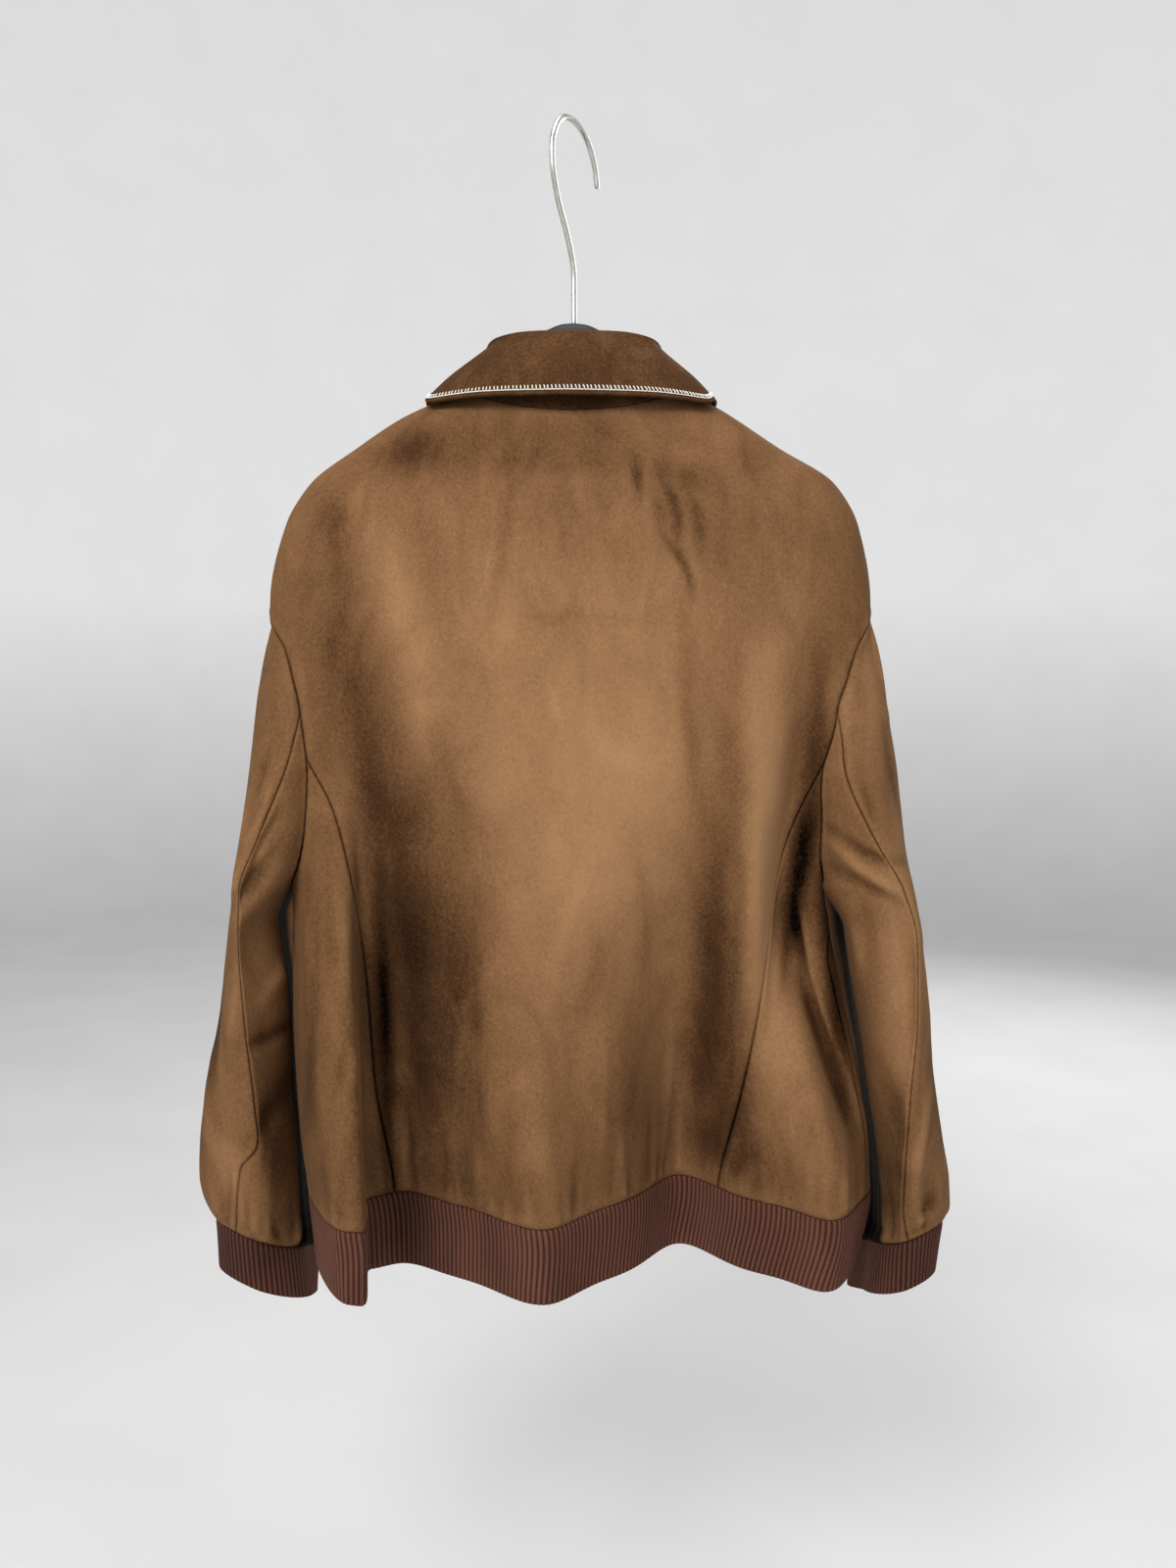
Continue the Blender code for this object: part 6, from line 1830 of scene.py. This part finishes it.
# studio: floor height, radius where it starts to rise, radius of the curve, height of the wall
FLOOR = -1.35
FLOOR_REACH = 4.5
FLOOR_BEND = 1.5
WALL_TOP = 6.0
FLOOR_SIDES = 96
GLOW_FROM = -1.3
GLOW_OVER = 1.6
EYE = (-0.0109, 0.93, -0.470)
EYE_TILT = math.radians(87.5)
LENS = 27.0

# soft lamps: name, place, height they aim at, width, power
LAMPS = (
    ("key", (0.9, 2.2, 1.3), -0.5, 1.2, 70.0),
    ("top", (0.0, 0.35, 1.9), -0.5, 2.0, 26.0),
    ("front_side", (-1.6, -2.6, 0.9), -0.5, 2.0, 50.0),
    ("low", (0.3, 2.4, -1.0), -0.6, 2.0, 5.0),
)


def studio_floor():
    """Pale floor that curves up to a glowing wall far behind."""
    m = Nodes("floor")
    colour = m.ramp(m.noise(3.0, 2.0), (0.3, (0.60, 0.60, 0.595)), (0.7, (0.63, 0.63, 0.625)))
    split = m.tree.nodes.new("ShaderNodeSeparateXYZ")
    m.link(m.coords, split.inputs[0])
    glow = m.math("MULTIPLY_ADD", split.outputs["Z"], 1.0 / GLOW_OVER, -GLOW_FROM / GLOW_OVER)
    m.drive(Base_Color=colour, Emission_Color=m.ramp(glow, (0.0, (0.0, 0.0, 0.0)), (1.0, (1.0, 1.0, 1.0))))
    m.set(Roughness=0.9, Specular_IOR_Level=0.1, Emission_Strength=0.34)
    profile = [(r, FLOOR) for r in (0.0005, 1.0, 2.5, FLOOR_REACH)]
    for g in np.linspace(0.15, 1.5708, 12):
        profile.append((FLOOR_REACH + FLOOR_BEND * math.sin(g), FLOOR + FLOOR_BEND * (1 - math.cos(g))))
    edge = FLOOR_REACH + FLOOR_BEND
    profile += [(edge, WALL_TOP / 2), (edge, WALL_TOP)]
    w = 2 * np.pi * np.arange(FLOOR_SIDES) / FLOOR_SIDES
    verts = np.array([[(r * math.cos(g), r * math.sin(g), z) for g in w] for r, z in profile])
    quads = grid_faces(numbered(verts), True)[:, TURNED]
    mesh_object("studio_floor", verts.reshape(-1, 3), quads, [m.material])


def air_and_camera():
    """Even pale light from all round, and the camera behind the jacket."""
    scene = bpy.context.scene
    world = bpy.data.worlds.new("studio")
    scene.world = world
    world.use_nodes = True
    air = world.node_tree.nodes["Background"]
    air.inputs["Color"].default_value = (0.95, 0.97, 1.0, 1.0)
    air.inputs["Strength"].default_value = 0.38
    camera = bpy.data.cameras.new("camera")
    camera.sensor_width = 36.0
    camera.lens = LENS
    camera.clip_end = 50.0
    eye = bpy.data.objects.new("camera", camera)
    eye.location = EYE
    eye.rotation_euler = (EYE_TILT, 0.0, math.pi)
    scene.collection.objects.link(eye)
    scene.camera = eye
    scene.view_settings.view_transform = "Standard"


def lamps():
    """Large round lamps, each turned to the jacket's middle."""
    for name, place, aim, size, power in LAMPS:
        lamp = bpy.data.lights.new(name, "AREA")
        lamp.shape = "DISK"
        lamp.size = size
        lamp.energy = power
        obj = bpy.data.objects.new(name, lamp)
        obj.location = place
        way = np.array((0.0, 0.0, aim)) - np.array(place)
        flat = math.hypot(way[0], way[1])
        obj.rotation_euler = (math.atan2(flat, -way[2]), 0.0, math.atan2(-way[0], way[1]))
        bpy.context.scene.collection.objects.link(obj)


# gathers beside a ribbed band: height and reach, for the body and for the sleeves
TRUNK_GATHER = (0.0013, 0.015)
ARM_GATHER = (0.0018, 0.018)
ARM_SPILL = 0.22
COLLAR_NAP = -0.30
METAL_BEVEL = 0.00025


def build_cloth(body, sleeves):
    """All suede panels as shells, with the panels that other pieces are placed by."""
    back = back_panel(body)
    fronts = {side: front_panel(body, side) for side in SIDES}
    sides = {side: side_panel(body, side) for side in SIDES}
    tops = {side: sleeve_top(sleeves[side], body) for side in SIDES}
    unders = {side: sleeve_under(sleeves[side], body) for side in SIDES}
    stand = collar_stand(back, fronts)
    leaf = collar_leaf(body)
    trunk = [back, *fronts.values(), *sides.values()]
    arms = [*tops.values(), *unders.values()]
    shared_normals(trunk + arms)
    for panel in trunk:
        dress(panel, CREASE_BACK, CREASE_FRONT, NAP_AND_SHADE_BACK, NAP_FRONT, TRUNK_GATHER)
    for parts in (tops, unders):
        for side, panel in parts.items():
            dress(panel, CREASE_SLEEVES_BACK, CREASE_SLEEVES_FRONT, NAP_AND_SHADE_SLEEVES, NAP_AND_SHADE_SLEEVES, ARM_GATHER,
                  ARM_SPILL)
            shade_inside(panel)
            panel.p = tilt_cuff(panel.p, sleeves[side])
    for panel in sides.values():
        shade_inside(panel)
    for panel in (stand, leaf):
        none = 0 * panel.p[..., 0]
        panel.extra = {"nap": COLLAR_NAP + none, "seam": none}
    nap = suede()
    inside = backing()
    cloth = [shell(panel, nap, inside) for panel in trunk + arms]
    cloth += [shell(panel, nap, nap) for panel in (stand, leaf)]
    return cloth, fronts, leaf


# pieces whose node isn't named by what follows the first word of their own name
NODE_OF = {"knit_hem": "hem_rib", "zip_teeth": "zip_chain", "hanger_arms": "hanger_body",
           "hook_wire": "hanger_hook"}

# cut of each piece of cloth: width, length, how it is held, and on what it rests
SHEETS = (
    ("suede_back", 0.56, 0.68, "hung", "hanger_arms"),
    ("suede_front_left", 0.30, 0.66, "hung", "hanger_arms"),
    ("suede_front_right", 0.30, 0.66, "hung", "hanger_arms"),
    ("suede_side_left", 0.16, 0.35, "hung", "suede_back"),
    ("suede_side_right", 0.22, 0.35, "hung", "suede_back"),
    ("suede_sleeve_top_left", 0.30, 0.58, "hung", "suede_back"),
    ("suede_sleeve_top_right", 0.30, 0.58, "hung", "suede_back"),
    ("suede_sleeve_under_left", 0.18, 0.42, "hung", "suede_sleeve_top_left"),
    ("suede_sleeve_under_right", 0.18, 0.42, "hung", "suede_sleeve_top_right"),
    ("suede_collar_stand", 0.46, 0.06, "folded", "suede_back"),
    ("suede_collar_leaf", 0.62, 0.09, "folded", "suede_collar_stand"),
    ("knit_hem", 1.30, 0.075, "stretched", "suede_back"),
    ("knit_cuff_left", 0.28, 0.055, "stretched", "suede_sleeve_top_left"),
    ("knit_cuff_right", 0.28, 0.055, "stretched", "suede_sleeve_top_right"),
)
LEAST_SHARE = 0.31


def declare_sheets(made):
    """Measure each piece of cloth's flat area from its mesh, held between a share of its cut and the whole
    cut; the result is not used.
    """
    for name, width, length, held, rests in SHEETS:
        a, b, c = corners(made[name].data)
        area = float(np.linalg.norm(np.cross(b - a, c - a), axis=1).sum() / 4)
        area = min(max(area, LEAST_SHARE * width * length), width * length)


def main():
    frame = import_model()

    body = Body()
    sleeves = {side: Sleeve(side, body) for side in SIDES}
    cloth, fronts, leaf = build_cloth(body, sleeves)
    yarn = knit()
    bands = [hem_band(body, yarn)] + [cuff_band(sleeves[side], yarn) for side in SIDES]
    cream = thread("cream_thread", (0.86, 0.83, 0.76), (0.62, 0.57, 0.48))
    brown = thread("brown_thread", (0.20, 0.105, 0.055), (0.10, 0.048, 0.024))
    stitch = whip_stitch(leaf, cream)
    top_z = float(fronts[1].p[0, -1, 2])
    nickel = metal("zip_nickel", (0.52, 0.47, 0.39), 0.34, 900.0)
    weave = woven()
    teeth = zip_teeth(body, top_z, nickel)
    tapes = [zip_tape(body, top_z, side, weave) for side in SIDES]
    seams = [top_stitch(fronts[side], sided("stitch_front", side), brown) for side in SIDES]
    arms = hanger(plastic())
    wire = hook(metal("hook_nickel", (0.66, 0.65, 0.61), 0.26, 700.0))
    for name in ("zip_slider", "zip_pull"):
        obj = frame["nodes"][name]
        obj.data.materials.clear()
        obj.data.materials.append(nickel)
        round_edges(obj, METAL_BEVEL, 2)

    solid = cloth + bands + [teeth, arms, wire]
    extra = [stitch] + tapes + seams
    for obj in solid:
        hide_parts(NODE_OF.get(obj.name, obj.name.split("_", 1)[1]))
    for obj in solid + extra:
        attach(obj, "jacket")
    declare_sheets({obj.name: obj for obj in cloth + bands})

    studio_floor()
    air_and_camera()
    lamps()


main()
